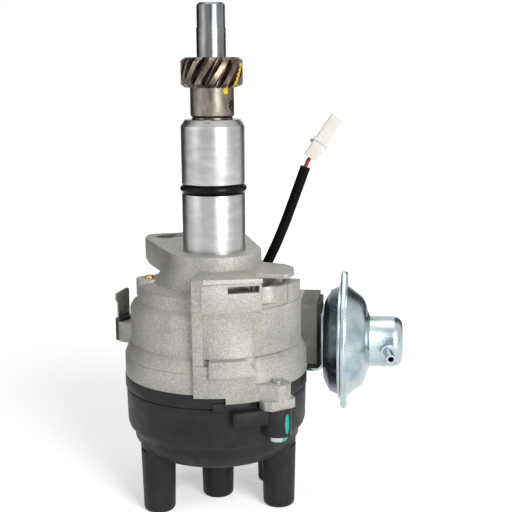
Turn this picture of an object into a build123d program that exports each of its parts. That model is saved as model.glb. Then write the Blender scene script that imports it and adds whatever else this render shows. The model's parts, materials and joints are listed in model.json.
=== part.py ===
from build123d import *
from math import cos, degrees, pi, radians, sin, tan
import os

# Ignition distributor, drawn cap down and drive gear up, in millimetres.
# The origin is on the shaft axis in the flange's seating face; +Z points to the drive gear and
# +X runs along the vacuum unit. Angles are in degrees about Z, measured from +X.

# Fits
running_clearance = 0.04  # radial, between a turning or sliding part and its bore
axial_play = 0.1  # between turning faces
part_gap = 0.2  # between a moving part and one it only passes

# Pilot tube and flange
pilot_r = 13.6
pilot_top = 56.2
pilot_nose_r = 11.8
pilot_nose_length = 2.8
o_ring_section = 3.4
o_ring_outer_r = 14.35
o_ring_z = 27.0
groove_side_play = 0.4
bush_outer_r = 8.6
upper_bush_length = 18.0
lower_bush_length = 20.0
lower_bush_top = 6.0
flange_boss_r = 20.4
flange_thickness = 6.0

# Clamp ear
ear_angle = 112.7
ear_reach = 50.2
ear_root_half_width = 20.4
ear_tip_half_width = 24.0
ear_corner_reach = 39.5
ear_tip_thickness = 7.4
ear_root_thickness = 11.0
ear_corner_r = 5.0
slot_r = 42.5
slot_width = 9.0
slot_half_angle = 19.5

# Bell
neck_r = 25.5
neck_z = -11.5
shoulder_top = -13.2
belly_top = -24.0
bell_r = 37.1
shoulder_r = bell_r - 3.3
bell_line_z = -38.3
skirt_r = bell_r + 2.8
skirt_top = -44.2
bell_bottom = -53.0
hub_inner_r = 14.5
hub_inner_z = -19.0
seal_seat_r = 11.5
seal_length = 5.0
cavity_r = bell_r - 3.9
cavity_top = -13.4
governor_wall_r = 30.6
ledge_z = -33.0
lower_cavity_r = skirt_r - 5.3

# Cast details on the bell
rib_angle = -91.0
rib_width = 4.4
rib_r = bell_r + 3.3
rib_top = -5.6
rib_bottom = -41.6
pad_angle = -69.5
pad_distance = bell_r + 1.5
pad_half_width = 11.7
pad_bottom = -19.2
pad_wall = 2.4
shelf_top = -5.8
shelf_thickness = 1.8
shelf_end_angle = -4.0
right_belly_r = bell_r + 1.5
right_wall_top = -11.2
scoop_r = 8.5
scoop_bottom = -18.0
window_width = 13.0
window_height = 2.8
window_top = -8.6
front_skirt_r = skirt_r + 1.9
front_skirt_top = -40.6
front_skirt_end = -58.0
front_block_r = skirt_r + 3.5
front_block_top = -38.2
front_block_bottom = -45.0

# Cap and its screws
cap_lip_r = skirt_r + 0.2
cap_r = skirt_r - 0.2
cap_lip_height = 5.0
cap_gasket_thickness = 0.6
cap_wall = 3.2
cap_curve_z = -75.0
crown_r = cap_r - 8.5
crown_z = -87.6
crown_thickness = 3.4
tower_end_z = -112.5
tower_end_r = 6.85
tower_root_r = 7.7
tower_half_x = 26.3
tower_half_y = 13.2
tower_turn = 12.0
tower_end_fillet = 1.8
socket_r = 4.25
socket_depth = 17.5
cap_screw_r = cap_lip_r + 2.9
cap_screw_angle = -45.0
cap_screw_shank_r = 2.0
cap_screw_head_r = 4.0
cap_screw_head_height = 2.9
lug_half_width = 5.3
lug_top = -49.5
lug_split_z = -59.8
lug_band_height = 3.8
cap_ear_bottom = -71.5
cap_ear_r = 5.8

# Drive shaft and gear
shaft_r = 6.22
shaft_nose_r = 6.0
shaft_top = 104.2
shaft_nose_z = 94.3
shaft_neck_r = 4.5
shaft_end_z = -50.0
gear_teeth = 13
gear_tip_r = 13.1
gear_root_r = 9.9
gear_width = 12.4
gear_helix = 34.0
gear_phase = -2.5
gear_tip_half = 5.4  # half a tooth at its tip, in degrees
gear_root_half = 10.9
gear_hub_r = 9.3
gear_hub_length = 12.5
thrust_washer_thickness = 0.7
gear_pin_r = 2.4
gear_pin_angle = -17.0
gear_pin_z = 62.0
gear_pin_recess = 1.3

# Centrifugal advance
plate_washer_thickness = 0.8
governor_plate_r = 27.0
governor_plate_thickness = 2.0
weight_thickness = 4.2
weight_pivot_r = 19.0
weight_pin_r = 2.0
weight_drive_r = 9.6
weight_drive_pin_r = 1.3
weight_outer_r = 25.2
weight_inner_r = 8.6
cam_plate_r = 14.4
cam_plate_thickness = 1.6
cam_slot_clearance = 0.25
sleeve_r = 7.2
sleeve_wall_play = 0.05
sleeve_end_z = -53.0
rotor_seat_r = 5.6
rotor_seat_z = -46.2
sleeve_recess_r = 4.9
spring_r = 1.5
spring_post_r = 1.1

# Signal pickup
base_plate_thickness = 1.6
collar_r = 13.0
collar_wall = 2.0
collar_height = 2.6
pickup_plate_thickness = 1.4
plate_clip_thickness = 0.6
reluctor_teeth = 4
reluctor_tip_r = 10.0
reluctor_root_r = 8.0
reluctor_height = 7.5
reluctor_top = -38.5
pickup_angle = -75.0
pickup_air_gap = 0.4
coil_r = 4.7
coil_length = 10.5
base_screw_r = lower_cavity_r - 3.1
base_screw_shank_r = 1.5
base_screw_head_r = 2.5
base_screw_head_height = 1.9
base_screw_grip = 5.6
base_screw_angles = (105.0, 225.0, 345.0)
pickup_plate_r = base_screw_r - base_screw_head_r - 1.5
pickup_screw_r = 1.4
pickup_screw_head_r = 2.4
pickup_screw_head_height = 1.7

# Rotor, brush and terminals
rotor_angle = -33.0
rotor_skirt_r = 9.0
rotor_top_z = -47.0
rotor_disc_z = -56.5
rotor_face_z = -60.0
rotor_tip_r = 23.2
rotor_spark_gap = 0.8
contact_thickness = 1.0
brush_r = 2.2
brush_length = 9.0
brush_boss_r = 6.0
brush_boss_z = -66.0
terminal_rod_r = 2.4

# Vacuum unit, on an axis along +X
unit_y = 23.0
unit_z = -45.7
boss_face_x = bell_r + 6.9
boss_half_width = 15.0
boss_top = -25.6
boss_bottom = -52.7
foot_depth = 3.8  # from the boss's underside to the bracket's foot
foot_reach = 4.6
foot_screw_inset = 2.6
foot_screw_r = 1.9
foot_screw_grip = 3.6
link_hole_r = 5.0
link_way_end = 18.0
gasket_half_width = 10.0
gasket_thickness = 1.6
bracket_thickness = 1.2
bracket_half_height = 14.5
bracket_rivet_offset = 11.0
bracket_rivet_r = 1.4
sheet = 1.0
rear_flat_r = 18.0
can_r = 25.2
can_flange_r = can_r + 1.4
rear_depth = 7.6
diaphragm_thickness = 0.8
dome_depth = 8.9
rear_cup_r = 15.0
front_cup_r = 16.0
dome_r = can_r - 6.6
unit_neck_r = 11.5
unit_neck_length = 16.0
unit_lug_reach = can_flange_r + 5.9
unit_lug_half_width = 6.0
unit_lug_thickness = 2.4
link_travel_r = 23.0
link_width = 5.0
link_thickness = 1.0
link_eye_x = -2.0
link_stem_r = 1.9
link_head_r = 3.2
link_pin_angle = 95.0
link_pin_r = 1.5
link_pin_play = 0.15
vacuum_spring_r = 8.0
nipple_r = 2.0
nipple_bore_r = 1.3
nipple_reach = 22.0
nipple_inset = 8.6  # from the neck's end to the pipe's axis
nipple_stem_r = 1.7

# Left terminal
terminal_angle = 152.0
terminal_offset = 16.6
terminal_face = bell_r + 1.1
terminal_boss_top = -33.0
terminal_boss_bottom = -42.0
terminal_screw_z = -36.0
terminal_screw_r = 1.5
insulator_thickness = 1.2
tab_width = 8.7
tab_thickness = 0.9
tab_top = -17.0

# Lead
sleeve_cable_r = 2.3
wire_r = 0.8
wire_spread = 0.95
grommet_r = 3.6
grommet_flange_r = 5.2
grommet_pad = 5.4
lead_route = [
    (16.9, 19.2, -17.0),
    (22.6, 20.4, -6.0),
    (27.8, 21.1, 6.0),
    (32.4, 21.7, 18.5),
    (37.9, 22.4, 34.0),
]
connector_rear = (39.9, 22.65, 38.0)
connector_front = (51.7, 24.15, 55.7)
connector_width = 5.5
connector_depth = 8.0

os.makedirs("parts", exist_ok=True)


# Point at a radius and an angle about Z
def polar(r, angle):
    return (r * cos(radians(angle)), r * sin(radians(angle)))


# Horizontal plane at a height whose local x points outwards at an angle
def flat_plane(angle, z):
    return Plane(origin=(0, 0, z), x_dir=(*polar(1, angle), 0), z_dir=(0, 0, 1))


# Upright plane through the shaft axis: local x points outwards at an angle, local y up
def side_plane(angle):
    outward = polar(1, angle)
    return Plane(origin=(0, 0, 0), x_dir=(*outward, 0), z_dir=(outward[1], -outward[0], 0))


# Upright plane facing outwards at a distance from the axis: local y is up
def facing_plane(angle, distance):
    outward = polar(1, angle)
    return Plane(
        origin=(*polar(distance, angle), 0), x_dir=(-outward[1], outward[0], 0), z_dir=(*outward, 0)
    )


# Flat ring segment between two radii and two angles
def ring_sector(inner_r, outer_r, start, end):
    with BuildSketch() as sector:
        with BuildLine():
            outer = CenterArc((0, 0), outer_r, start, end - start)
            inner = CenterArc((0, 0), inner_r, start, end - start)
            Line(outer @ 0, inner @ 0)
            Line(outer @ 1, inner @ 1)
        make_face()
    return sector.sketch


# Rectangle from x0 to x1, y0 to y1
def span(x0, x1, y0, y1):
    return Polygon((x0, y0), (x1, y0), (x1, y1), (x0, y1), align=None)


# Write one piece to its own file
def save(piece, name):
    piece.part.label = name
    export_step(piece.part, "parts/" + name + ".step")


# Places worked out from the driving dimensions
rivet_place = polar(neck_r + 3.0, -171)
groove_r = o_ring_outer_r - o_ring_section
groove_half = o_ring_section / 2 + groove_side_play
gear_hub_z = pilot_top + thrust_washer_thickness + axial_play
gear_z = gear_hub_z + gear_hub_length
gear_top = gear_z + gear_width
plate_washer_top = hub_inner_z - axial_play
governor_top = plate_washer_top - plate_washer_thickness - axial_play
governor_bottom = governor_top - governor_plate_thickness
weight_top = governor_bottom - part_gap
weight_bottom = weight_top - weight_thickness
cam_top = weight_bottom - part_gap
cam_bottom = cam_top - cam_plate_thickness
spring_z = cam_bottom - part_gap - axial_play - spring_r
post_end_z = spring_z - spring_r - axial_play
base_plate_bottom = ledge_z - base_plate_thickness
pickup_top = base_plate_bottom - part_gap
pickup_bottom = pickup_top - pickup_plate_thickness
plate_clip_top = pickup_bottom - axial_play
lip_top = bell_bottom - cap_gasket_thickness
lip_bottom = lip_top - cap_lip_height
cap_roof_z = crown_z + crown_thickness
socket_floor_z = tower_end_z + socket_depth
tower_centres = [
    Vector(x, y, 0).rotate(Axis.Z, tower_turn)
    for x, y in (
        (tower_half_x, -tower_half_y),
        (tower_half_x, tower_half_y),
        (-tower_half_x, tower_half_y),
        (-tower_half_x, -tower_half_y),
    )
]
tower_places = [(centre.X, centre.Y) for centre in tower_centres]
electrode_inner_r = rotor_tip_r + rotor_spark_gap
gasket_x = boss_face_x
bracket_x = gasket_x + gasket_thickness
rear_shell_x = bracket_x + bracket_thickness
diaphragm_x = rear_shell_x + rear_depth + sheet
front_shell_x = diaphragm_x + diaphragm_thickness
unit_axis = Axis((0, unit_y, unit_z), (1, 0, 0))
unit_plane = Plane(origin=(0, unit_y, unit_z), x_dir=(1, 0, 0), z_dir=(0, -1, 0))
lead_start = Vector(*lead_route[0])
lead_direction = (Vector(*lead_route[1]) - lead_start).normalized()
lead_plane = Plane(origin=lead_start, z_dir=lead_direction)
nipple_direction = Vector(0.15, -0.98, -0.10).normalized()
dome_x = front_shell_x + sheet + dome_depth
neck_end_x = dome_x + unit_neck_length
nipple_x = neck_end_x - nipple_inset
nipple_plane = Plane(origin=(nipple_x, unit_y, unit_z), z_dir=nipple_direction)
nipple_collar_end = unit_neck_r + 1.6
foot_z = boss_bottom - foot_depth
foot_screw_place = (boss_face_x - foot_screw_inset, unit_y)


# Housing: clamp ear
ear_back_half_width = ear_tip_half_width - 3.5
ear_slot_arc = CenterArc((0, 0), slot_r, -slot_half_angle, 2 * slot_half_angle)
with BuildPart() as ear:
    with BuildSketch(flat_plane(ear_angle, 0)) as ear_outline:
        Polygon(
            (0, -ear_root_half_width),
            (ear_corner_reach, -ear_tip_half_width),
            (ear_reach, -ear_back_half_width),
            (ear_reach, ear_back_half_width),
            (ear_corner_reach, ear_tip_half_width),
            (0, ear_root_half_width),
            align=None,
        )
        outer_corners = ear_outline.vertices().filter_by(lambda v: Vector(v).length > ear_corner_reach)
        fillet(outer_corners, ear_corner_r)
        SlotArc(ear_slot_arc, slot_width, mode=Mode.SUBTRACT)
    extrude(amount=-ear_root_thickness)
    with BuildSketch(side_plane(ear_angle)):
        Polygon(
            (0, 0),
            (ear_reach, 0),
            (ear_reach, -ear_tip_thickness),
            (ear_corner_reach + 6.7, -ear_tip_thickness),
            (neck_r + 7, -ear_root_thickness),
            (0, -ear_root_thickness),
            align=None,
        )
    extrude(amount=ear_tip_half_width + 1, both=True, mode=Mode.INTERSECT)

# Housing: the space inside the bell
with BuildPart() as bell_space:
    with BuildSketch(Plane.XZ):
        Polygon(
            (0, pilot_top + 1),
            (bush_outer_r, pilot_top + 1),
            (bush_outer_r, hub_inner_z + seal_length),
            (seal_seat_r, hub_inner_z + seal_length),
            (seal_seat_r, hub_inner_z),
            (hub_inner_r, hub_inner_z),
            (hub_inner_r, cavity_top),
            (neck_r - 3, cavity_top),
            (neck_r + 2.5, cavity_top - 3.6),
            (governor_wall_r, hub_inner_z),
            (governor_wall_r, hub_inner_z - 2.5),
            (cavity_r, belly_top - 0.5),
            (cavity_r, ledge_z),
            (lower_cavity_r, ledge_z),
            (lower_cavity_r, bell_bottom - 1),
            (0, bell_bottom - 1),
            align=None,
        )
    revolve(axis=Axis.Z)

# Housing: chamber under the shelf, open to the front through the window and beside the pad
chamber_top = shelf_top - shelf_thickness
chamber_floor = shoulder_top + 0.4
column_start = -27.0
chamber_r = bell_r - 4
scoop_angle = -46.0
with BuildSketch(flat_plane(pad_angle, scoop_bottom)) as pad_outline:
    span(shoulder_r - 6, pad_distance, -pad_half_width - 1.5, pad_half_width)
pad_foot = pad_outline.sketch
pad_frame = facing_plane(pad_angle, pad_distance)
pad_corner = flat_plane(pad_angle, 0).from_local_coords((pad_distance + 0.4, pad_half_width + 0.3))
pad_back = flat_plane(pad_angle, 0).from_local_coords((pad_distance - 11, pad_half_width + 0.3))



# Cap screw lug: its front face is cut across the corner
with BuildSketch() as lug_outline:
    Polygon(
        (skirt_r - 3, -lug_half_width - 4),
        (cap_screw_r - 3.3, -lug_half_width - 4),
        (cap_screw_r + 4.7, -2.6),
        (cap_screw_r + lug_half_width, 0.5),
        (cap_screw_r + 3.7, lug_half_width - 1),
        (cap_screw_r - 1, lug_half_width),
        (skirt_r - 3, lug_half_width),
        align=None,
    )
    fillet(lug_outline.vertices().filter_by(lambda v: v.X > cap_screw_r), 1.2)
lug_shape = lug_outline.sketch

with BuildPart() as housing:
    # turned pilot, flange boss, neck, shoulder and bell
    with BuildSketch(Plane.XZ):
        Polygon(
            (0, pilot_top),
            (pilot_nose_r, pilot_top),
            (pilot_r, pilot_top - pilot_nose_length),
            (pilot_r, o_ring_z + groove_half),
            (groove_r, o_ring_z + groove_half),
            (groove_r, o_ring_z - groove_half),
            (pilot_r, o_ring_z - groove_half),
            (pilot_r, 0),
            (flange_boss_r, 0),
            (flange_boss_r, 1 - flange_thickness),
            (neck_r, neck_z),
            (neck_r + 1.5, shoulder_top),
            (shoulder_r - 3, shoulder_top - 0.5),
            (shoulder_r - 0.8, shoulder_top - 1.8),
            (shoulder_r, shoulder_top - 4),
            (shoulder_r, belly_top + 3.5),
            (bell_r - 1, belly_top + 1.8),
            (bell_r, belly_top),
            (bell_r, bell_line_z),
            (skirt_r, skirt_top),
            (skirt_r, bell_bottom),
            (0, bell_bottom),
            align=None,
        )
    revolve(axis=Axis.Z)
    add(ear.part)
    # belly of the right half, its upper wall and the column at the shelf's end
    with BuildSketch(Plane.XY.offset(bell_line_z)):
        add(ring_sector(bell_r - 6, right_belly_r, rib_angle, shelf_end_angle - 4))
    extrude(amount=pad_bottom - bell_line_z)
    with BuildSketch(Plane.XY.offset(pad_bottom)):
        add(ring_sector(bell_r - 6, bell_r, pad_angle, shelf_end_angle - 4))
    extrude(amount=right_wall_top - pad_bottom)
    with BuildSketch(Plane.XY.offset(pad_bottom)):
        add(ring_sector(bell_r - 6, right_belly_r - 0.6, column_start, shelf_end_angle - 4))
    extrude(amount=right_wall_top - pad_bottom)
    # flat pad beside the rib
    with BuildSketch(flat_plane(pad_angle, pad_bottom)):
        span(shoulder_r - 4, pad_distance, -pad_half_width - 1.5, pad_half_width)
    extrude(amount=chamber_top - pad_bottom)
    # chamber behind the pad and its window
    with BuildSketch(Plane.XY.offset(chamber_floor)):
        add(ring_sector(neck_r - 1, pad_distance - pad_wall, pad_angle - 17, pad_angle + 15))
        add(ring_sector(neck_r - 1, chamber_r, pad_angle + 14, shelf_end_angle - 9))
    extrude(amount=chamber_top - chamber_floor, mode=Mode.SUBTRACT)
    # scoop in the wall between the pad and the column
    with BuildSketch(Plane.XY.offset(scoop_bottom)):
        with Locations(polar(bell_r + 5, scoop_angle)):
            Circle(scoop_r)
        add(pad_foot, mode=Mode.SUBTRACT)
    extrude(amount=chamber_top - scoop_bottom, mode=Mode.SUBTRACT)
    with BuildSketch(pad_frame):
        span(-2.3, -2.3 + window_width, window_top - window_height, window_top)
    extrude(amount=-pad_wall - 3, mode=Mode.SUBTRACT)
    # thin shelf over the chamber, stepped back beside the pad
    with BuildSketch(Plane.XY.offset(chamber_top)) as shelf:
        Polygon(
            (0, 0),
            polar(pad_distance, rib_angle - 1),
            (pad_corner.X, pad_corner.Y),
            (pad_back.X, pad_back.Y),
            polar(bell_r + 3.8, column_start - 7),
            polar(bell_r + 2.2, column_start + 4),
            polar(bell_r - 1.6, shelf_end_angle - 6),
            polar(neck_r + 5, shelf_end_angle + 3),
            polar(flange_boss_r - 1, shelf_end_angle + 15),
            align=None,
        )
        right_corners = shelf.vertices().filter_by(lambda v: v.X > pad_corner.X + 4)
        tongue_tip = right_corners.filter_by(lambda v: Vector(v).length > bell_r)
        fillet(tongue_tip, 2.4)
    extrude(amount=shelf_thickness)
    # front rib
    with BuildSketch(flat_plane(rib_angle, rib_bottom)):
        span(flange_boss_r - 2, rib_r, -rib_width / 2, rib_width / 2)
    extrude(amount=rib_top - rib_bottom)
    # front of the skirt, its lower edge and the raised block
    with BuildSketch(Plane.XY.offset(bell_bottom - 0.8)):
        add(ring_sector(cap_lip_r + 0.3, front_skirt_r, rib_angle - 2.5, front_skirt_end))
    extrude(amount=front_skirt_top - bell_bottom + 0.8)
    with BuildSketch(Plane.XY.offset(bell_bottom)):
        add(ring_sector(lower_cavity_r + 1, front_skirt_r - 1, rib_angle - 2.5, front_skirt_end))
    extrude(amount=front_skirt_top - bell_bottom)
    with BuildSketch(Plane.XY.offset(bell_bottom - 3.4)):
        add(ring_sector(cap_lip_r + 0.3, front_skirt_r, pad_angle - 6, pad_angle + 17))
    extrude(amount=3.4)
    with BuildSketch(Plane.XY.offset(front_block_bottom)):
        add(ring_sector(bell_r - 1, front_block_r, rib_angle + 6.5, front_skirt_end))
    extrude(amount=front_block_top - front_block_bottom)
    # slanted right end of the block
    with BuildSketch(facing_plane(front_skirt_end, skirt_r)):
        Polygon(
            (-3.8, front_block_top + 0.1),
            (-3.8, front_block_top),
            (0, front_block_bottom),
            (2, front_block_bottom),
            (2, front_block_top + 0.1),
            align=None,
        )
    extrude(amount=5, mode=Mode.SUBTRACT)
    # cap screw lugs, standing outside the cap's lip
    for angle in (cap_screw_angle, cap_screw_angle + 180):
        lug_split = lug_split_z + lug_band_height
        with BuildSketch(flat_plane(angle, bell_bottom)):
            add(lug_shape)
        extrude(amount=lug_top - bell_bottom)
        with BuildSketch(flat_plane(angle, lug_split)):
            add(lug_shape)
            Circle(cap_lip_r + 0.3, mode=Mode.SUBTRACT)
        extrude(amount=bell_bottom - lug_split)
        with BuildSketch(flat_plane(angle, lug_split_z)) as lug_band:
            Polygon(
                (cap_lip_r + 0.3, -lug_half_width - 2.3),
                (cap_screw_r + 1.2, -lug_half_width - 2.5),
                (cap_screw_r + 4, -lug_half_width - 0.9),
                (cap_screw_r + lug_half_width, 1),
                (cap_screw_r + lug_half_width, lug_half_width),
                (cap_screw_r + 1, lug_half_width + 1.7),
                (cap_lip_r + 0.3, lug_half_width + 1.7),
                align=None,
            )
            fillet(lug_band.vertices().filter_by(lambda v: v.X > cap_screw_r), 1.2)
        extrude(amount=lug_band_height)
        with BuildSketch(flat_plane(angle, lug_split_z - 1)):
            with Locations((cap_screw_r, 0)):
                Circle(cap_screw_shank_r)
        extrude(amount=lug_top - lug_split_z + 2, mode=Mode.SUBTRACT)
    # vacuum boss
    with BuildSketch(Plane.XY.offset(boss_bottom)):
        Polygon(
            (0, bell_r - 4),
            (bell_r - 11, unit_y + boss_half_width),
            (boss_face_x, unit_y + boss_half_width),
            (boss_face_x, unit_y - boss_half_width),
            (bell_r - 7, unit_y - boss_half_width),
            align=None,
        )
    extrude(amount=boss_top - boss_bottom)
    # terminal boss on the left
    with BuildSketch(facing_plane(terminal_angle, terminal_face)):
        span(terminal_offset - 5, terminal_offset + 5, terminal_boss_bottom, terminal_boss_top)
    extrude(amount=-10)
    # rivet boss on the left shoulder
    with BuildSketch(Plane.XY.offset(shoulder_top - 6)):
        with Locations(rivet_place):
            Circle(5.8)
    extrude(amount=7)
    # pad of the lead's grommet
    with BuildSketch(lead_plane):
        Circle(grommet_flange_r + 1.4)
    extrude(amount=grommet_pad)
    # hollow the bell
    add(bell_space.part, mode=Mode.SUBTRACT)
    with BuildSketch(lead_plane.offset(-3)):
        Circle(grommet_r)
    extrude(amount=12, mode=Mode.SUBTRACT)
    with BuildSketch(lead_plane.offset(grommet_pad)):
        Circle(grommet_flange_r + part_gap)
    extrude(amount=4, mode=Mode.SUBTRACT)
    # oil notch in the pilot's end
    with BuildSketch(facing_plane(rib_angle, bush_outer_r + 0.6)):
        span(-1.4, 1.4, pilot_top - 1.3, pilot_top + 1)
    extrude(amount=pilot_r, mode=Mode.SUBTRACT)
    # lugs under the ledge for the base plate's screws
    for angle in base_screw_angles:
        with BuildSketch(Plane.XY.offset(ledge_z)):
            with Locations(polar(base_screw_r, angle)):
                Circle(3.8)
        extrude(amount=5.8)
        with BuildSketch(Plane.XY.offset(ledge_z)):
            with Locations(polar(base_screw_r, angle)):
                Circle(base_screw_shank_r)
        extrude(amount=4.5, mode=Mode.SUBTRACT)
    # way through the vacuum boss for the link
    with BuildSketch(Plane.YZ.offset(boss_face_x)):
        with Locations((unit_y, unit_z)):
            Rectangle(2 * link_hole_r - 1, link_hole_r)
    extrude(amount=link_way_end - boss_face_x, mode=Mode.SUBTRACT)
    # threaded holes for the bracket, terminal and shoulder fasteners
    with BuildSketch(Plane.XY.offset(boss_bottom)):
        with Locations(foot_screw_place):
            Circle(foot_screw_r)
    extrude(amount=foot_screw_grip, mode=Mode.SUBTRACT)
    with BuildSketch(facing_plane(terminal_angle, terminal_face)):
        with Locations((terminal_offset, terminal_screw_z)):
            Circle(terminal_screw_r)
    extrude(amount=-6, mode=Mode.SUBTRACT)
    with BuildSketch(Plane.XY.offset(shoulder_top - 6)):
        with Locations(rivet_place):
            Circle(1.2)
    extrude(amount=8, mode=Mode.SUBTRACT)
save(housing, "housing")

# Seals and bushes in the pilot
with BuildPart() as o_ring:
    with BuildSketch(Plane.XZ):
        with Locations((groove_r + o_ring_section / 2, o_ring_z)):
            Circle(o_ring_section / 2)
    revolve(axis=Axis.Z)
save(o_ring, "o_ring")

with BuildPart() as upper_bush:
    with BuildSketch(Plane.XZ):
        span(shaft_r + running_clearance, bush_outer_r, pilot_top - upper_bush_length, pilot_top)
    revolve(axis=Axis.Z)
save(upper_bush, "upper_bush")

with BuildPart() as lower_bush:
    with BuildSketch(Plane.XZ):
        span(
            shaft_r + running_clearance,
            bush_outer_r,
            lower_bush_top - lower_bush_length,
            lower_bush_top,
        )
    revolve(axis=Axis.Z)
save(lower_bush, "lower_bush")

with BuildPart() as oil_seal:
    with BuildSketch(Plane.XZ):
        Polygon(
            (seal_seat_r, hub_inner_z),
            (seal_seat_r, hub_inner_z + seal_length),
            (shaft_r + 1.4, hub_inner_z + seal_length),
            (shaft_r + running_clearance, hub_inner_z + seal_length - 1.2),
            (shaft_r + 0.8, hub_inner_z + seal_length - 3),
            (seal_seat_r - 2, hub_inner_z + seal_length - 1.4),
            (seal_seat_r - 2, hub_inner_z),
            align=None,
        )
    revolve(axis=Axis.Z)
save(oil_seal, "oil_seal")

# Drive shaft: nose, journal, neck for the cam sleeve, tapped end and cross hole
gear_pin_plane = facing_plane(gear_pin_angle, 0)
with BuildPart() as drive_shaft:
    with BuildSketch(Plane.XZ):
        Polygon(
            (0, shaft_top),
            (shaft_nose_r - 1, shaft_top),
            (shaft_nose_r, shaft_top - 1),
            (shaft_nose_r, shaft_nose_z),
            (shaft_r, shaft_nose_z - 0.4),
            (shaft_r, governor_bottom),
            (shaft_neck_r, governor_bottom),
            (shaft_neck_r, shaft_end_z),
            (0, shaft_end_z),
            align=None,
        )
    revolve(axis=Axis.Z)
    with BuildSketch(Plane.XY.offset(shaft_end_z)):
        Circle(1.9)
    extrude(amount=8, mode=Mode.SUBTRACT)
    with BuildSketch(gear_pin_plane):
        with Locations((0, gear_pin_z)):
            Circle(gear_pin_r)
    extrude(amount=shaft_r + 1, both=True, mode=Mode.SUBTRACT)
save(drive_shaft, "drive_shaft")


# Transverse outline of the helical gear
def gear_outline():
    points = []
    for tooth in range(gear_teeth):
        middle = gear_phase + 360 / gear_teeth * tooth
        for r, turn in (
            (gear_root_r, -gear_root_half),
            (gear_tip_r, -gear_tip_half),
            (gear_tip_r, gear_tip_half),
            (gear_root_r, gear_root_half),
        ):
            points.append(polar(r, middle + turn))
    return points


# Drive gear: right-hand helical teeth, chamfered at both ends, on a pinned hub
gear_layers = 3
gear_twist = degrees(tan(radians(gear_helix)) * gear_width / gear_tip_r)
with BuildPart() as drive_gear:
    for layer in range(gear_layers + 1):
        share = layer / gear_layers
        with BuildSketch(flat_plane(gear_twist * share, gear_z + gear_width * share)):
            Polygon(*gear_outline(), align=None)
    loft(ruled=True)
    with BuildSketch(Plane.XZ):
        Polygon(
            (0, gear_z),
            (gear_tip_r - 1.6, gear_z),
            (gear_tip_r + 0.1, gear_z + 1.1),
            (gear_tip_r + 0.1, gear_top - 1.1),
            (gear_tip_r - 1.6, gear_top),
            (0, gear_top),
            align=None,
        )
    revolve(axis=Axis.Z, mode=Mode.INTERSECT)
    with BuildSketch(Plane.XZ):
        Polygon(
            (0, gear_hub_z),
            (gear_hub_r - 0.9, gear_hub_z),
            (gear_hub_r, gear_hub_z + 0.9),
            (gear_hub_r, gear_z + 0.5),
            (0, gear_z + 0.5),
            align=None,
        )
    revolve(axis=Axis.Z)
    with BuildSketch(Plane.XY.offset(gear_hub_z - 1)):
        Circle(shaft_r)
    extrude(amount=gear_hub_length + gear_width + 2, mode=Mode.SUBTRACT)
    with BuildSketch(gear_pin_plane):
        with Locations((0, gear_pin_z)):
            Circle(gear_pin_r)
    extrude(amount=gear_hub_r + 1, both=True, mode=Mode.SUBTRACT)
save(drive_gear, "drive_gear")

# Slotted roll pin across hub and shaft, recessed at both ends
with BuildPart() as gear_pin:
    with BuildSketch(gear_pin_plane):
        with Locations((0, gear_pin_z)):
            Circle(gear_pin_r)
            Circle(gear_pin_r - 0.8, mode=Mode.SUBTRACT)
        with Locations((gear_pin_r, gear_pin_z)):
            Rectangle(2, 0.6, mode=Mode.SUBTRACT)
    extrude(amount=gear_hub_r - gear_pin_recess, both=True)
save(gear_pin, "gear_pin")

with BuildPart() as thrust_washer:
    with BuildSketch(Plane.XZ):
        span(
            shaft_r + running_clearance,
            gear_hub_r - 0.6,
            pilot_top,
            pilot_top + thrust_washer_thickness,
        )
    revolve(axis=Axis.Z)
save(thrust_washer, "thrust_washer")

with BuildPart() as plate_washer:
    with BuildSketch(Plane.XZ):
        span(
            shaft_r + running_clearance,
            seal_seat_r + 1,
            plate_washer_top - plate_washer_thickness,
            plate_washer_top,
        )
    revolve(axis=Axis.Z)
save(plate_washer, "plate_washer")

# Governor plate with the weights' pivots and the springs' posts
weight_angles = (0, 180)
governor_post = (weight_pivot_r + 5.5, -5.2)
cam_post_angle = 75.0
cam_post_r = cam_plate_r - 2.1
with BuildPart() as governor_plate:
    with BuildSketch(Plane.XY.offset(governor_bottom)):
        Circle(governor_plate_r)
        Circle(shaft_r, mode=Mode.SUBTRACT)
        with PolarLocations(15.5, 2, start_angle=90):
            SlotOverall(13, 6, rotation=90, mode=Mode.SUBTRACT)
    extrude(amount=governor_plate_thickness)
    for angle in weight_angles:
        with BuildSketch(flat_plane(angle, governor_bottom)):
            with Locations((weight_pivot_r, 0)):
                Circle(weight_pin_r)
        extrude(amount=weight_bottom - governor_bottom - 1.6)
        with BuildSketch(flat_plane(angle, governor_bottom)):
            with Locations(governor_post):
                Circle(spring_post_r)
        extrude(amount=post_end_z - governor_bottom)
save(governor_plate, "governor_plate")

with BuildPart() as weight_clips:
    for angle in weight_angles:
        with BuildSketch(flat_plane(angle, weight_bottom - axial_play)):
            with Locations((weight_pivot_r, 0)):
                Circle(weight_pin_r + 1.1)
                Circle(weight_pin_r, mode=Mode.SUBTRACT)
            with Locations((weight_pivot_r + weight_pin_r, 0)):
                Rectangle(3, 1.6, mode=Mode.SUBTRACT)
        extrude(amount=-0.7)
save(weight_clips, "weight_clips")


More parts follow.
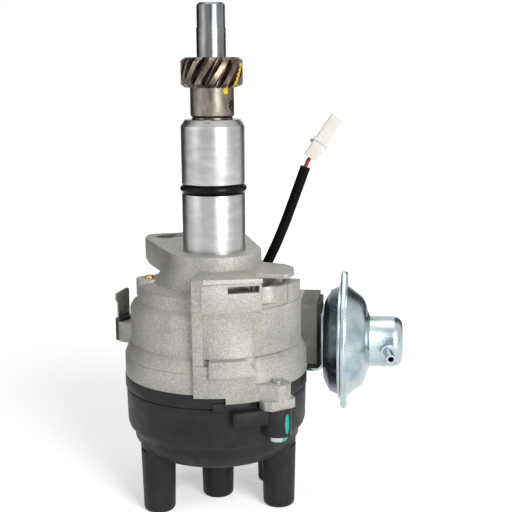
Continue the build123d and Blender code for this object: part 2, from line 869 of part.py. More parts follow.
# Flyweight: lobe at its pivot, arm to the drive pin and the curved mass
def flyweight(angle):
    with BuildPart() as weight:
        with BuildSketch(flat_plane(angle, weight_top)) as outline:
            add(ring_sector(weight_inner_r, weight_outer_r, 14, 96))
            fillet(outline.vertices(), 3)
            with Locations((weight_pivot_r, 0)):
                Circle(4.6)
            Polygon(
                (weight_drive_r, -2.6),
                (weight_pivot_r, -4.4),
                (weight_pivot_r + 4.4, 1),
                (weight_outer_r - 1.5, 9),
                (weight_drive_r, 7),
                (weight_drive_r, 2.6),
                align=None,
            )
            with Locations((weight_drive_r, 0)):
                Circle(2.6)
            with Locations((weight_pivot_r, 0)):
                Circle(weight_pin_r + running_clearance, mode=Mode.SUBTRACT)
        extrude(amount=-weight_thickness)
        with BuildSketch(flat_plane(angle, weight_bottom)):
            with Locations((weight_drive_r, 0)):
                Circle(weight_drive_pin_r)
        extrude(amount=cam_bottom - weight_bottom - 0.2)
    return weight


flyweight_1 = flyweight(weight_angles[0])
save(flyweight_1, "flyweight_1")
flyweight_2 = flyweight(weight_angles[1])
save(flyweight_2, "flyweight_2")

# Cam sleeve: slotted cam plate on a tube that turns on the shaft's neck
sleeve_shoulder_z = shaft_end_z + 0.3
with BuildPart() as cam_sleeve:
    with BuildSketch(Plane.XZ):
        Polygon(
            (0, cam_top),
            (cam_plate_r, cam_top),
            (cam_plate_r, cam_bottom),
            (sleeve_r, cam_bottom),
            (sleeve_r, rotor_seat_z),
            (rotor_seat_r, rotor_seat_z),
            (rotor_seat_r, sleeve_end_z),
            (0, sleeve_end_z),
            align=None,
        )
    revolve(axis=Axis.Z)
    with BuildSketch(Plane.XY.offset(sleeve_end_z)):
        Circle(shaft_neck_r + sleeve_wall_play)
    extrude(amount=cam_top - sleeve_end_z, mode=Mode.SUBTRACT)
    with BuildSketch(Plane.XY.offset(sleeve_end_z)):
        Circle(sleeve_recess_r)
    extrude(amount=sleeve_shoulder_z - sleeve_end_z, mode=Mode.SUBTRACT)
    slot_half = weight_drive_pin_r + cam_slot_clearance
    for angle in weight_angles:
        with BuildSketch(flat_plane(angle, cam_bottom)):
            with Locations((weight_drive_r + 0.4, 0)):
                SlotOverall(2 * slot_half + 1.5, 2 * slot_half)
        extrude(amount=cam_plate_thickness, mode=Mode.SUBTRACT)
        with BuildSketch(flat_plane(angle, cam_bottom)):
            with Locations(polar(cam_post_r, cam_post_angle)):
                Circle(spring_post_r)
        extrude(amount=post_end_z - cam_bottom)
    with BuildSketch(Plane.XY.offset(reluctor_top - reluctor_height)):
        with Locations(polar(sleeve_r, rotor_angle)):
            Circle(0.8)
    extrude(amount=reluctor_height, mode=Mode.SUBTRACT)
save(cam_sleeve, "cam_sleeve")


# Governor spring: a ribbed coil between an eye on each post
def governor_spring(angle):
    plane = flat_plane(angle, spring_z)
    hook = plane.from_local_coords(Vector(*governor_post, 0))
    pull = plane.from_local_coords(Vector(*polar(cam_post_r, cam_post_angle), 0))
    run = (pull - hook).length
    along = Plane(origin=hook, x_dir=(pull - hook), z_dir=(0, 0, 1))
    eye_r = spring_post_r + 0.8
    coils = 9
    pitch = (run - 2 * eye_r) / coils
    with BuildPart() as spring:
        with BuildSketch(along):
            points = [(eye_r - 0.2, 0)]
            for coil in range(coils):
                start = eye_r - 0.2 + coil * (pitch + 0.4 / coils)
                points += [(start, spring_r - 0.35), (start + pitch * 0.5, spring_r)]
            points += [(run - eye_r + 0.2, spring_r - 0.35), (run - eye_r + 0.2, 0)]
            Polygon(*points, align=None)
        revolve(axis=Axis(hook, pull - hook))
        for place in (hook, pull):
            with BuildSketch(Plane(origin=place, z_dir=(0, 0, 1))):
                Circle(eye_r)
            extrude(amount=0.4, both=True)
        for place in (hook, pull):
            with BuildSketch(Plane(origin=place, z_dir=(0, 0, 1))):
                Circle(spring_post_r)
            extrude(amount=spring_r + 1, both=True, mode=Mode.SUBTRACT)
    return spring.part


with BuildPart() as governor_springs:
    for angle in weight_angles:
        add(governor_spring(angle))
save(governor_springs, "governor_springs")

# Screw and washer that hold the cam sleeve on the shaft
with BuildPart() as sleeve_screw:
    with BuildSketch(Plane.XZ):
        Polygon(
            (0, shaft_end_z + 7),
            (1.9, shaft_end_z + 7),
            (1.9, shaft_end_z),
            (sleeve_recess_r - part_gap, shaft_end_z),
            (sleeve_recess_r - part_gap, shaft_end_z - 0.8),
            (3, shaft_end_z - 0.8),
            (3, shaft_end_z - 2.4),
            (0, shaft_end_z - 2.4),
            align=None,
        )
    revolve(axis=Axis.Z)
    with BuildSketch(Plane.XY.offset(shaft_end_z - 2.4)):
        Rectangle(7, 0.9)
    extrude(amount=1, mode=Mode.SUBTRACT)
save(sleeve_screw, "sleeve_screw")

# Reluctor with one tooth for each plug, keyed to the sleeve by a dowel
reluctor_bottom = reluctor_top - reluctor_height
with BuildPart() as reluctor:
    with BuildSketch(Plane.XY.offset(reluctor_bottom)):
        Circle(reluctor_root_r)
        for tooth in range(reluctor_teeth):
            middle = rotor_angle + 360 / reluctor_teeth * tooth
            add(ring_sector(sleeve_r, reluctor_tip_r, middle - 8, middle + 8))
        Circle(sleeve_r, mode=Mode.SUBTRACT)
        with Locations(polar(sleeve_r, rotor_angle)):
            Circle(0.8, mode=Mode.SUBTRACT)
    extrude(amount=reluctor_height)
save(reluctor, "reluctor")

with BuildPart() as reluctor_pin:
    with BuildSketch(Plane.XY.offset(reluctor_bottom)):
        with Locations(polar(sleeve_r, rotor_angle)):
            Circle(0.8)
    extrude(amount=reluctor_height)
save(reluctor_pin, "reluctor_pin")

# Base plate on the ledge, with the collar that the pickup plate turns on
with BuildPart() as base_plate:
    with BuildSketch(Plane.XY.offset(base_plate_bottom)):
        Circle(lower_cavity_r - part_gap)
        Circle(collar_r - collar_wall, mode=Mode.SUBTRACT)
        for angle in base_screw_angles:
            with Locations(polar(base_screw_r, angle)):
                Circle(base_screw_shank_r + 0.1, mode=Mode.SUBTRACT)
        with PolarLocations(23, 3, start_angle=45):
            Circle(4.5, mode=Mode.SUBTRACT)
    extrude(amount=base_plate_thickness)
    with BuildSketch(Plane.XY.offset(base_plate_bottom)):
        Circle(collar_r)
        Circle(collar_r - collar_wall, mode=Mode.SUBTRACT)
    extrude(amount=-collar_height)
save(base_plate, "base_plate")

with BuildPart() as base_plate_screws:
    for angle in base_screw_angles:
        with BuildSketch(Plane.XY.offset(base_plate_bottom)):
            with Locations(polar(base_screw_r, angle)):
                Circle(base_screw_shank_r)
        extrude(amount=base_screw_grip)
        with BuildSketch(Plane.XY.offset(base_plate_bottom)):
            with Locations(polar(base_screw_r, angle)):
                Circle(base_screw_head_r)
        extrude(amount=-base_screw_head_height)
        with BuildSketch(Plane.XY.offset(base_plate_bottom - base_screw_head_height)):
            with Locations(polar(base_screw_r, angle)):
                Rectangle(2 * base_screw_head_r - 1.6, 0.8)
                Rectangle(0.8, 2 * base_screw_head_r - 1.6)
        extrude(amount=1, mode=Mode.SUBTRACT)
save(base_plate_screws, "base_plate_screws")

with BuildPart() as pickup_plate:
    with BuildSketch(Plane.XY.offset(pickup_bottom)):
        Circle(pickup_plate_r)
        Circle(collar_r + running_clearance, mode=Mode.SUBTRACT)
        with PolarLocations(21, 2, start_angle=190, angular_range=140):
            SlotOverall(9, 5, rotation=90, mode=Mode.SUBTRACT)
    extrude(amount=pickup_plate_thickness)
save(pickup_plate, "pickup_plate")

with BuildPart() as plate_clip:
    with BuildSketch(Plane.XY.offset(plate_clip_top)):
        add(ring_sector(collar_r, collar_r + 2.4, pickup_angle + 25, pickup_angle + 335))
    extrude(amount=-plate_clip_thickness)
save(plate_clip, "plate_clip")

# Pickup core: foot on the plate, post and pole pointing at the reluctor
pole_z = (reluctor_top + reluctor_bottom) / 2
pole_half = 1.4
foot_thickness = 1.2
foot_bottom = pickup_bottom - foot_thickness
coil_start = collar_r + 2.4
post_start = coil_start + coil_length + 1.2
post_end = post_start + 2.6
pickup_screw_x = post_start - 3.5
pickup_screw_y = 7.8
with BuildPart() as pickup_core:
    with BuildSketch(flat_plane(pickup_angle, pickup_bottom)):
        span(coil_start + 1.2, post_end, -4, 4)
        span(pickup_screw_x - 3, post_end, -pickup_screw_y - 2.8, pickup_screw_y + 2.8)
        with Locations((pickup_screw_x, -pickup_screw_y), (pickup_screw_x, pickup_screw_y)):
            Circle(1.4, mode=Mode.SUBTRACT)
    extrude(amount=-foot_thickness)
    with BuildSketch(flat_plane(pickup_angle, foot_bottom)):
        span(post_start, post_end, -4, 4)
    extrude(amount=pole_z - pole_half - foot_bottom - 1)
    with BuildSketch(flat_plane(pickup_angle, pole_z - pole_half)):
        span(reluctor_tip_r + pickup_air_gap, post_start + 1, -1.6, 1.6)
    extrude(amount=2 * pole_half)
save(pickup_core, "pickup_core")

# Coil wound on a flanged bobbin round the pole
with BuildPart() as pickup_coil:
    with BuildSketch(facing_plane(pickup_angle, coil_start)):
        with Locations((0, pole_z)):
            Circle(coil_r)
    extrude(amount=coil_length)
    with BuildSketch(facing_plane(pickup_angle, coil_start + 1)):
        with Locations((0, pole_z)):
            Circle(coil_r + 1)
            Circle(coil_r - 0.6, mode=Mode.SUBTRACT)
    extrude(amount=coil_length - 2, mode=Mode.SUBTRACT)
    with BuildSketch(facing_plane(pickup_angle, coil_start)):
        with Locations((0, pole_z)):
            Rectangle(3.2, 2 * pole_half)
    extrude(amount=coil_length, mode=Mode.SUBTRACT)
save(pickup_coil, "pickup_coil")

with BuildPart() as pickup_screws:
    for y in (-pickup_screw_y, pickup_screw_y):
        with BuildSketch(flat_plane(pickup_angle, foot_bottom)):
            with Locations((pickup_screw_x, y)):
                Circle(pickup_screw_r)
        extrude(amount=foot_thickness)
        with BuildSketch(flat_plane(pickup_angle, foot_bottom)):
            with Locations((pickup_screw_x, y)):
                Circle(pickup_screw_head_r)
        extrude(amount=-pickup_screw_head_height)
        with BuildSketch(flat_plane(pickup_angle, foot_bottom - pickup_screw_head_height)):
            with Locations((pickup_screw_x, y)):
                Rectangle(2 * pickup_screw_head_r + 0.2, 0.7)
        extrude(amount=0.9, mode=Mode.SUBTRACT)
save(pickup_screws, "pickup_screws")

# Pin on the pickup plate that the vacuum link pulls
link_pin_place = polar(link_travel_r, link_pin_angle)
link_eye_place = (link_pin_place[0], (link_pin_place[1] + link_travel_r) / 2)
with BuildPart() as link_pin:
    with BuildSketch(Plane.XY.offset(pickup_bottom)):
        with Locations(link_pin_place):
            Circle(2.6)
    extrude(amount=-1.8)
    with BuildSketch(Plane.XY.offset(pickup_bottom)):
        with Locations(link_pin_place):
            Circle(link_pin_r)
    extrude(amount=unit_z - 1.4 - pickup_bottom)
save(link_pin, "link_pin")

# Rotor arm: cup over the sleeve's end, disc and tapering arm
rotor_cup_z = sleeve_end_z - 0.3
with BuildPart() as rotor_arm:
    with BuildSketch(Plane.XZ):
        Polygon(
            (0, rotor_cup_z),
            (rotor_seat_r, rotor_cup_z),
            (rotor_seat_r, rotor_top_z),
            (rotor_skirt_r - 0.6, rotor_top_z),
            (rotor_skirt_r, rotor_disc_z),
            (rotor_skirt_r + 2.5, rotor_disc_z),
            (rotor_skirt_r + 2.5, rotor_face_z),
            (0, rotor_face_z),
            align=None,
        )
    revolve(axis=Axis.Z)
    with BuildSketch(flat_plane(rotor_angle, rotor_disc_z)):
        Polygon((0, -9), (rotor_tip_r - 3, -4), (rotor_tip_r - 3, 4), (0, 9), align=None)
    extrude(amount=rotor_face_z - rotor_disc_z)
save(rotor_arm, "rotor_arm")

with BuildPart() as rotor_contact:
    with BuildSketch(flat_plane(rotor_angle, rotor_face_z)):
        Polygon(
            (-4, -3),
            (rotor_tip_r - 7, -2.2),
            (rotor_tip_r - 2, -3),
            (rotor_tip_r - 0.4, -3),
            (rotor_tip_r, 0),
            (rotor_tip_r - 0.4, 3),
            (rotor_tip_r - 2, 3),
            (rotor_tip_r - 7, 2.2),
            (-4, 3),
            align=None,
        )
    extrude(amount=-contact_thickness)
    with BuildSketch(flat_plane(rotor_angle, rotor_face_z)):
        span(rotor_tip_r - 3, rotor_tip_r - 0.4, -3, 3)
    extrude(amount=2.2)
save(rotor_contact, "rotor_contact")

# Plug terminals: electrode beside the rotor's circle, strap in the roof, rod in the tower
electrode_width = 5.0
electrode_depth = 2.6
strap_width = 3.0
electrode_end_z = rotor_face_z + 2.2
strap_top = cap_roof_z - 0.2
strap_bottom = crown_z + 1.4
electrode_angles = [rotor_angle + 90 * quarter for quarter in range(4)]
with BuildPart() as plug_terminals:
    for angle, tower in zip(electrode_angles, tower_places):
        with BuildSketch(flat_plane(angle, electrode_end_z)):
            span(
                electrode_inner_r,
                electrode_inner_r + electrode_depth,
                -electrode_width / 2,
                electrode_width / 2,
            )
        extrude(amount=strap_bottom - electrode_end_z)
        foot = Vector(*polar(electrode_inner_r + electrode_depth / 2, angle))
        top = Vector(*tower)
        with BuildSketch(Plane.XY.offset(strap_top)):
            with BuildLine():
                strap_line = Line(foot, top)
            trace(strap_line, line_width=strap_width)
            with Locations(tower):
                Circle(terminal_rod_r)
        extrude(amount=strap_bottom - strap_top)
        with BuildSketch(Plane.XY.offset(strap_bottom)):
            with Locations(tower):
                Circle(terminal_rod_r)
        extrude(amount=socket_floor_z - strap_bottom)
save(plug_terminals, "plug_terminals")

brush_bore_r = brush_r + 0.1
brush_top_z = rotor_face_z - contact_thickness - part_gap / 4
with BuildPart() as centre_terminal:
    with BuildSketch(Plane.XY.offset(cap_roof_z)):
        Circle(terminal_rod_r)
    extrude(amount=socket_floor_z - cap_roof_z)
save(centre_terminal, "centre_terminal")

with BuildPart() as carbon_brush:
    with BuildSketch(Plane.XZ):
        Polygon(
            (0, brush_top_z),
            (brush_r - 0.8, brush_top_z),
            (brush_r, brush_top_z - 0.9),
            (brush_r, brush_top_z - brush_length),
            (0, brush_top_z - brush_length),
            align=None,
        )
    revolve(axis=Axis.Z)
save(carbon_brush, "carbon_brush")

with BuildPart() as brush_spring:
    spring_top = brush_top_z - brush_length
    turns = 8
    pitch = (spring_top - cap_roof_z) / turns
    with BuildSketch(Plane.XZ):
        points = [(brush_r - 0.8, spring_top)]
        for turn in range(turns):
            points += [
                (brush_r - 0.5, spring_top - pitch * turn),
                (brush_r - 0.1, spring_top - pitch * (turn + 0.5)),
            ]
        points += [(brush_r - 0.5, cap_roof_z), (brush_r - 0.8, cap_roof_z)]
        Polygon(*points, align=None)
    revolve(axis=Axis.Z)
save(brush_spring, "brush_spring")

# Cap: domed shell with four plug towers round the coil tower
cap_inner_r = cap_r - cap_wall
ear_sweep = 27
with BuildPart() as distributor_cap:
    with BuildSketch(Plane.XZ):
        with BuildLine():
            Polyline(
                (crown_r, crown_z),
                (0, crown_z),
                (0, lip_top),
                (cap_lip_r, lip_top),
                (cap_lip_r, lip_bottom),
                (cap_r - 0.5, lip_bottom),
                (cap_r - 0.5, lip_bottom - 0.5),
                (cap_r, lip_bottom - 0.9),
                (cap_r - 0.3, cap_curve_z + 1),
            )
            ThreePointArc(
                (cap_r - 0.3, cap_curve_z + 1), (cap_r - 2.4, cap_curve_z - 5), (crown_r + 1.8, crown_z + 1)
            )
            Line((crown_r + 1.8, crown_z + 1), (crown_r, crown_z))
        make_face()
    revolve(axis=Axis.Z)
    with BuildSketch(Plane.XY.offset(tower_end_z)):
        with Locations((0, 0), *tower_places):
            Circle(tower_end_r)
    tower_height = cap_curve_z - 1 - tower_end_z
    extrude(amount=tower_height, taper=-degrees((tower_root_r - tower_end_r) / tower_height))
    fillet(
        distributor_cap.edges().filter_by(GeomType.CIRCLE).group_by(Axis.Z)[0], tower_end_fillet
    )
    # screw ears: a ledge on the wall and a boss under each lug
    for angle in (cap_screw_angle, cap_screw_angle + 180):
        with BuildSketch(Plane.XY.offset(lug_split_z)):
            add(ring_sector(cap_inner_r + 1, cap_screw_r + 1.5, angle - ear_sweep, angle + 8))
        extrude(amount=-6)
        with BuildSketch(flat_plane(angle, lug_split_z)):
            with Locations((cap_screw_r, 0)):
                Circle(cap_ear_r)
            span(cap_inner_r + 1, cap_screw_r, -cap_ear_r, cap_ear_r)
        extrude(amount=cap_ear_bottom - lug_split_z)
        with BuildSketch(flat_plane(angle, lug_split_z)):
            with Locations((cap_screw_r, 0)):
                Circle(cap_screw_shank_r + 0.2)
        extrude(amount=cap_ear_bottom - lug_split_z, mode=Mode.SUBTRACT)
        with BuildSketch(flat_plane(angle, cap_ear_bottom)):
            with Locations((cap_screw_r, 0)):
                Circle(cap_screw_head_r + part_gap)
        extrude(amount=-cap_screw_head_height - 1, mode=Mode.SUBTRACT)
    # inside: shell space, brush boss and a post behind each electrode
    with BuildSketch(Plane.XZ):
        Polygon(
            (0, lip_top),
            (cap_inner_r, lip_top),
            (cap_inner_r - 0.3, cap_curve_z + 3),
            (crown_r - 1.5, cap_roof_z),
            (0, cap_roof_z),
            align=None,
        )
    revolve(axis=Axis.Z, mode=Mode.SUBTRACT)
    with BuildSketch(Plane.XY.offset(cap_roof_z)):
        Circle(brush_boss_r)
    extrude(amount=brush_boss_z - cap_roof_z)
    for angle in electrode_angles:
        with BuildSketch(flat_plane(angle, cap_roof_z)):
            span(electrode_inner_r + 0.8, electrode_inner_r + 6, -4, 4)
        extrude(amount=electrode_end_z - 5 - cap_roof_z)
    with BuildSketch(Plane.XY.offset(cap_roof_z)):
        Circle(brush_bore_r)
    extrude(amount=brush_boss_z - cap_roof_z, mode=Mode.SUBTRACT)
    with BuildSketch(Plane.XY.offset(tower_end_z)):
        with Locations((0, 0), *tower_places):
            Circle(socket_r)
    extrude(amount=socket_depth, mode=Mode.SUBTRACT)
    add(plug_terminals.part, mode=Mode.SUBTRACT)
    add(centre_terminal.part, mode=Mode.SUBTRACT)
save(distributor_cap, "distributor_cap")

with BuildPart() as cap_gasket:
    with BuildSketch(Plane.XZ):
        span(lower_cavity_r + 1.2, skirt_r, lip_top, bell_bottom)
    revolve(axis=Axis.Z)
save(cap_gasket, "cap_gasket")

with BuildPart() as cap_screws:
    for angle in (cap_screw_angle, cap_screw_angle + 180):
        with BuildSketch(flat_plane(angle, cap_ear_bottom)):
            with Locations((cap_screw_r, 0)):
                Circle(cap_screw_shank_r)
        extrude(amount=lug_top + 1 - cap_ear_bottom)
        with BuildSketch(flat_plane(angle, cap_ear_bottom)):
            with Locations((cap_screw_r, 0)):
                Circle(cap_screw_head_r)
        extrude(amount=-cap_screw_head_height)
        fillet(
            cap_screws.faces().sort_by(Axis.Z)[0].edges().filter_by(GeomType.CIRCLE), 1.2
        )
    for angle in (cap_screw_angle, cap_screw_angle + 180):
        with BuildSketch(flat_plane(angle, cap_ear_bottom - cap_screw_head_height)):
            with Locations((cap_screw_r, 0)):
                Rectangle(4.4, 0.9)
                Rectangle(0.9, 4.4)
        extrude(amount=1.5, mode=Mode.SUBTRACT)
save(cap_screws, "cap_screws")

# Left terminal: black insulator, steel tab and brass screw on the cast boss
tab_face = terminal_face + insulator_thickness
with BuildPart() as terminal_insulator:
    with BuildSketch(facing_plane(terminal_angle, terminal_face)):
        span(
            terminal_offset - 5.4,
            terminal_offset + 5.4,
            terminal_boss_bottom + 0.4,
            terminal_boss_top + 1.6,
        )
    extrude(amount=insulator_thickness)
    with BuildSketch(facing_plane(terminal_angle, terminal_face)):
        span(terminal_offset - 5.4, terminal_offset + 5.4, terminal_boss_top, terminal_boss_top + 1.6)
    extrude(amount=-1.6)
    with BuildSketch(facing_plane(terminal_angle, terminal_face)):
        with Locations((terminal_offset, terminal_screw_z)):
            Circle(terminal_screw_r)
    extrude(amount=insulator_thickness, mode=Mode.SUBTRACT)
save(terminal_insulator, "terminal_insulator")

with BuildPart() as terminal_tab:
    with BuildSketch(facing_plane(terminal_angle, tab_face)):
        Polygon(
            (terminal_offset - tab_width / 2, tab_top - 1.6),
            (terminal_offset + tab_width / 2, tab_top),
            (terminal_offset + tab_width / 2, terminal_boss_bottom + 2),
            (terminal_offset + tab_width / 2 - 2, terminal_boss_bottom),
            (terminal_offset - tab_width / 2 + 2, terminal_boss_bottom),
            (terminal_offset - tab_width / 2, terminal_boss_bottom + 2),
            align=None,
        )
        with Locations((terminal_offset, terminal_screw_z)):
            Circle(terminal_screw_r, mode=Mode.SUBTRACT)
    extrude(amount=tab_thickness)
save(terminal_tab, "terminal_tab")

with BuildPart() as terminal_screw:
    with BuildSketch(facing_plane(terminal_angle, terminal_face - 5.5)):
        with Locations((terminal_offset, terminal_screw_z)):
            Circle(terminal_screw_r)
    extrude(amount=tab_face + tab_thickness - terminal_face + 5.5)
    with BuildSketch(facing_plane(terminal_angle, tab_face + tab_thickness)):
        with Locations((terminal_offset, terminal_screw_z)):
            Circle(2.95)
    extrude(amount=1.9)
    fillet(
        terminal_screw.faces()
        .sort_by(Axis(origin=(0, 0, 0), direction=(*polar(1, terminal_angle), 0)))[-1]
        .edges(),
        1.4,
    )
save(terminal_screw, "terminal_screw")

with BuildPart() as shoulder_rivet:
    with BuildSketch(Plane.XY.offset(shoulder_top - 2)):
        with Locations(rivet_place):
            Circle(1.2)
    extrude(amount=3)
    with BuildSketch(Plane.XY.offset(shoulder_top + 1)):
        with Locations(rivet_place):
            Circle(2.1)
    extrude(amount=1.3)
    fillet(shoulder_rivet.faces().sort_by(Axis.Z)[-1].edges(), 1.0)
save(shoulder_rivet, "shoulder_rivet")

# Gasket and bracket of the vacuum unit, both turned under the boss
foot_x = boss_face_x - foot_reach
rivet_places = [(unit_y, unit_z + side * bracket_rivet_offset) for side in (-1, 1)]
with BuildPart() as vacuum_gasket:
    with BuildSketch(Plane.XZ.offset(-unit_y - gasket_half_width)):
        Polygon(
            (gasket_x, boss_top - 1),
            (bracket_x, boss_top - 1),
            (bracket_x, foot_z),
            (foot_x, foot_z),
            (foot_x, boss_bottom),
            (gasket_x, boss_bottom),
            align=None,
        )
    extrude(amount=2 * gasket_half_width)
    with BuildSketch(Plane.YZ.offset(gasket_x)):
        with Locations((unit_y, unit_z)):
            Circle(link_hole_r)
    extrude(amount=gasket_thickness, mode=Mode.SUBTRACT)
    with BuildSketch(Plane.XY.offset(foot_z)):
        with Locations(foot_screw_place):
            Circle(foot_screw_r)
    extrude(amount=boss_bottom - foot_z, mode=Mode.SUBTRACT)
save(vacuum_gasket, "vacuum_gasket")

with BuildPart() as vacuum_bracket:
    with BuildSketch(Plane.XZ.offset(-unit_y - gasket_half_width)) as bracket_side:
        Polygon(
            (bracket_x, unit_z + bracket_half_height),
            (rear_shell_x, unit_z + bracket_half_height),
            (rear_shell_x, foot_z - bracket_thickness),
            (foot_x, foot_z - bracket_thickness),
            (foot_x, foot_z),
            (bracket_x, foot_z),
            align=None,
        )
        fillet(bracket_side.vertices().sort_by(lambda v: v.X - v.Y)[-1], 1.1)
    extrude(amount=2 * gasket_half_width)
    with BuildSketch(Plane.YZ.offset(bracket_x)):
        with Locations((unit_y, unit_z)):
            Circle(link_hole_r)
        with Locations(*rivet_places):
            Circle(bracket_rivet_r)
    extrude(amount=bracket_thickness, mode=Mode.SUBTRACT)
    with BuildSketch(Plane.XY.offset(foot_z - bracket_thickness)):
        with Locations(foot_screw_place):
            Circle(foot_screw_r)
    extrude(amount=bracket_thickness, mode=Mode.SUBTRACT)
save(vacuum_bracket, "vacuum_bracket")

with BuildPart() as bracket_screw:
    with BuildSketch(Plane.XY.offset(foot_z - bracket_thickness)):
        with Locations(foot_screw_place):
            Circle(foot_screw_r)
    extrude(amount=boss_bottom + foot_screw_grip - foot_z + bracket_thickness)
    with BuildSketch(Plane.XY.offset(foot_z - bracket_thickness)):
        with Locations(foot_screw_place):
            Circle(3.2)
    extrude(amount=-2)
    with BuildSketch(Plane.XY.offset(foot_z - bracket_thickness - 2)):
        with Locations(foot_screw_place):
            Rectangle(4, 0.9)
            Rectangle(0.9, 4)
    extrude(amount=1.1, mode=Mode.SUBTRACT)
save(bracket_screw, "bracket_screw")

with BuildPart() as bracket_rivets:
    with BuildSketch(Plane.YZ.offset(bracket_x)):
        with Locations(*rivet_places):
            Circle(bracket_rivet_r)
    extrude(amount=bracket_thickness + sheet)
    with BuildSketch(Plane.YZ.offset(rear_shell_x + sheet)):
        with Locations(*rivet_places):
            Circle(bracket_rivet_r + 1)
    extrude(amount=1)
save(bracket_rivets, "bracket_rivets")

# Rear shell of the vacuum unit
rear_flange_x = rear_shell_x + rear_depth
with BuildPart() as rear_shell:
    with BuildSketch(unit_plane):
        Polygon(
            (rear_shell_x, link_hole_r),
            (rear_shell_x, rear_flat_r),
            (rear_shell_x + 2.8, can_r - 2),
            (rear_flange_x, can_r),
            (rear_flange_x, can_flange_r),
            (rear_flange_x + sheet, can_flange_r),
            (rear_flange_x + sheet, can_r - sheet),
            (rear_shell_x + 3.5, can_r - 2 - sheet),
            (rear_shell_x + sheet, rear_flat_r - 0.6),
            (rear_shell_x + sheet, link_hole_r),
            align=None,
        )
    revolve(axis=unit_axis)
    with BuildSketch(Plane.YZ.offset(rear_shell_x)):
        with Locations(*rivet_places):
            Circle(bracket_rivet_r)
    extrude(amount=sheet, mode=Mode.SUBTRACT)
save(rear_shell, "rear_shell")

# Front shell: dome, neck with a rounded end, rim crimped over the rear flange
rim_r = can_flange_r + 0.2
neck_end_fillet = 4.5


# Half section of the dome and neck, local x along the unit and local y the radius
def dome_half(inset):
    with BuildSketch() as half:
        with BuildLine():
            Polyline(
                (front_shell_x, 0),
                (front_shell_x, can_r - inset),
                (front_shell_x + sheet, can_r - inset),
                (dome_x - 2.6 - inset / 2, dome_r + 1.9 - inset / 2),
            )
            ThreePointArc(
                (dome_x - 2.6 - inset / 2, dome_r + 1.9 - inset / 2),
                (dome_x - 0.7 - inset * 0.9, dome_r - 1.3 - inset * 0.4),
                (dome_x - inset, dome_r - 4.1),
            )
            Polyline(
                (dome_x - inset, dome_r - 4.1),
                (dome_x + 1.2 - inset, unit_neck_r - inset),
                (neck_end_x - neck_end_fillet, unit_neck_r - inset),
            )
            RadiusArc(
                (neck_end_x - neck_end_fillet, unit_neck_r - inset),
                (neck_end_x - inset, unit_neck_r - neck_end_fillet),
                neck_end_fillet - inset,
            )
            Polyline(
                (neck_end_x - inset, unit_neck_r - neck_end_fillet),
                (neck_end_x - inset, 0),
                (front_shell_x, 0),
            )
        make_face()
    return half.sketch


with BuildPart() as front_shell:
    with BuildSketch(unit_plane):
        add(dome_half(0))
    revolve(axis=unit_axis)
    with BuildSketch(unit_plane):
        Polygon(
            (front_shell_x, can_r - 1),
            (front_shell_x + sheet, can_r - 1),
            (front_shell_x + sheet, rim_r + sheet),
            (rear_flange_x - sheet, rim_r + sheet),
            (rear_flange_x - sheet, can_r + 0.4),
            (rear_flange_x, can_r + 0.4),
            (rear_flange_x, rim_r),
            (front_shell_x, rim_r),
            align=None,
        )
    revolve(axis=unit_axis)
    for side in (-1, 1):
        with BuildSketch(Plane.YZ.offset(front_shell_x + sheet + 0.4)) as lobe:
            with Locations((unit_y, unit_z + side * (rim_r + unit_lug_reach) / 2)):
                Rectangle(2 * unit_lug_half_width, unit_lug_reach - rim_r)
            fillet(lobe.vertices().filter_by(lambda v: abs(v.Z - unit_z) > rim_r + 1), 2)
        extrude(amount=-unit_lug_thickness)
    with BuildSketch(unit_plane):
        add(dome_half(sheet))
    revolve(axis=unit_axis, mode=Mode.SUBTRACT)
    with BuildSketch(nipple_plane):
        Circle(nipple_stem_r)
    extrude(amount=nipple_reach, mode=Mode.SUBTRACT)
save(front_shell, "front_shell")

with BuildPart() as vacuum_nipple:
    with BuildSketch(nipple_plane.offset(nipple_collar_end)):
        Circle(nipple_r)
    extrude(amount=nipple_reach - nipple_collar_end)
    with BuildSketch(nipple_plane.offset(unit_neck_r - 1)):
        Circle(nipple_r + 1.1)
    extrude(amount=nipple_collar_end - unit_neck_r + 1)
    with BuildSketch(Plane.YZ.offset(nipple_x - 6)):
        with Locations((unit_y, unit_z)):
            Circle(unit_neck_r)
    extrude(amount=12, mode=Mode.SUBTRACT)
    with BuildSketch(nipple_plane.offset(unit_neck_r - sheet - 0.4)):
        Circle(nipple_stem_r)
    extrude(amount=sheet + 1)
    with BuildSketch(nipple_plane):
        Circle(nipple_bore_r)
    extrude(amount=nipple_reach, mode=Mode.SUBTRACT)
save(vacuum_nipple, "vacuum_nipple")

# Diaphragm clamped between the flanges, with a cup on each side of it
with BuildPart() as diaphragm:
    with BuildSketch(Plane.YZ.offset(diaphragm_x)):
        with Locations((unit_y, unit_z)):
            Circle(can_flange_r - 0.2)
            Circle(link_stem_r, mode=Mode.SUBTRACT)
    extrude(amount=diaphragm_thickness)
save(diaphragm, "diaphragm")

with BuildPart() as diaphragm_cups:
    for x, radius in ((diaphragm_x - sheet, rear_cup_r), (front_shell_x, front_cup_r)):
        with BuildSketch(Plane.YZ.offset(x)):
            with Locations((unit_y, unit_z)):
                Circle(radius)
                Circle(link_stem_r, mode=Mode.SUBTRACT)
        extrude(amount=sheet)
save(diaphragm_cups, "diaphragm_cups")

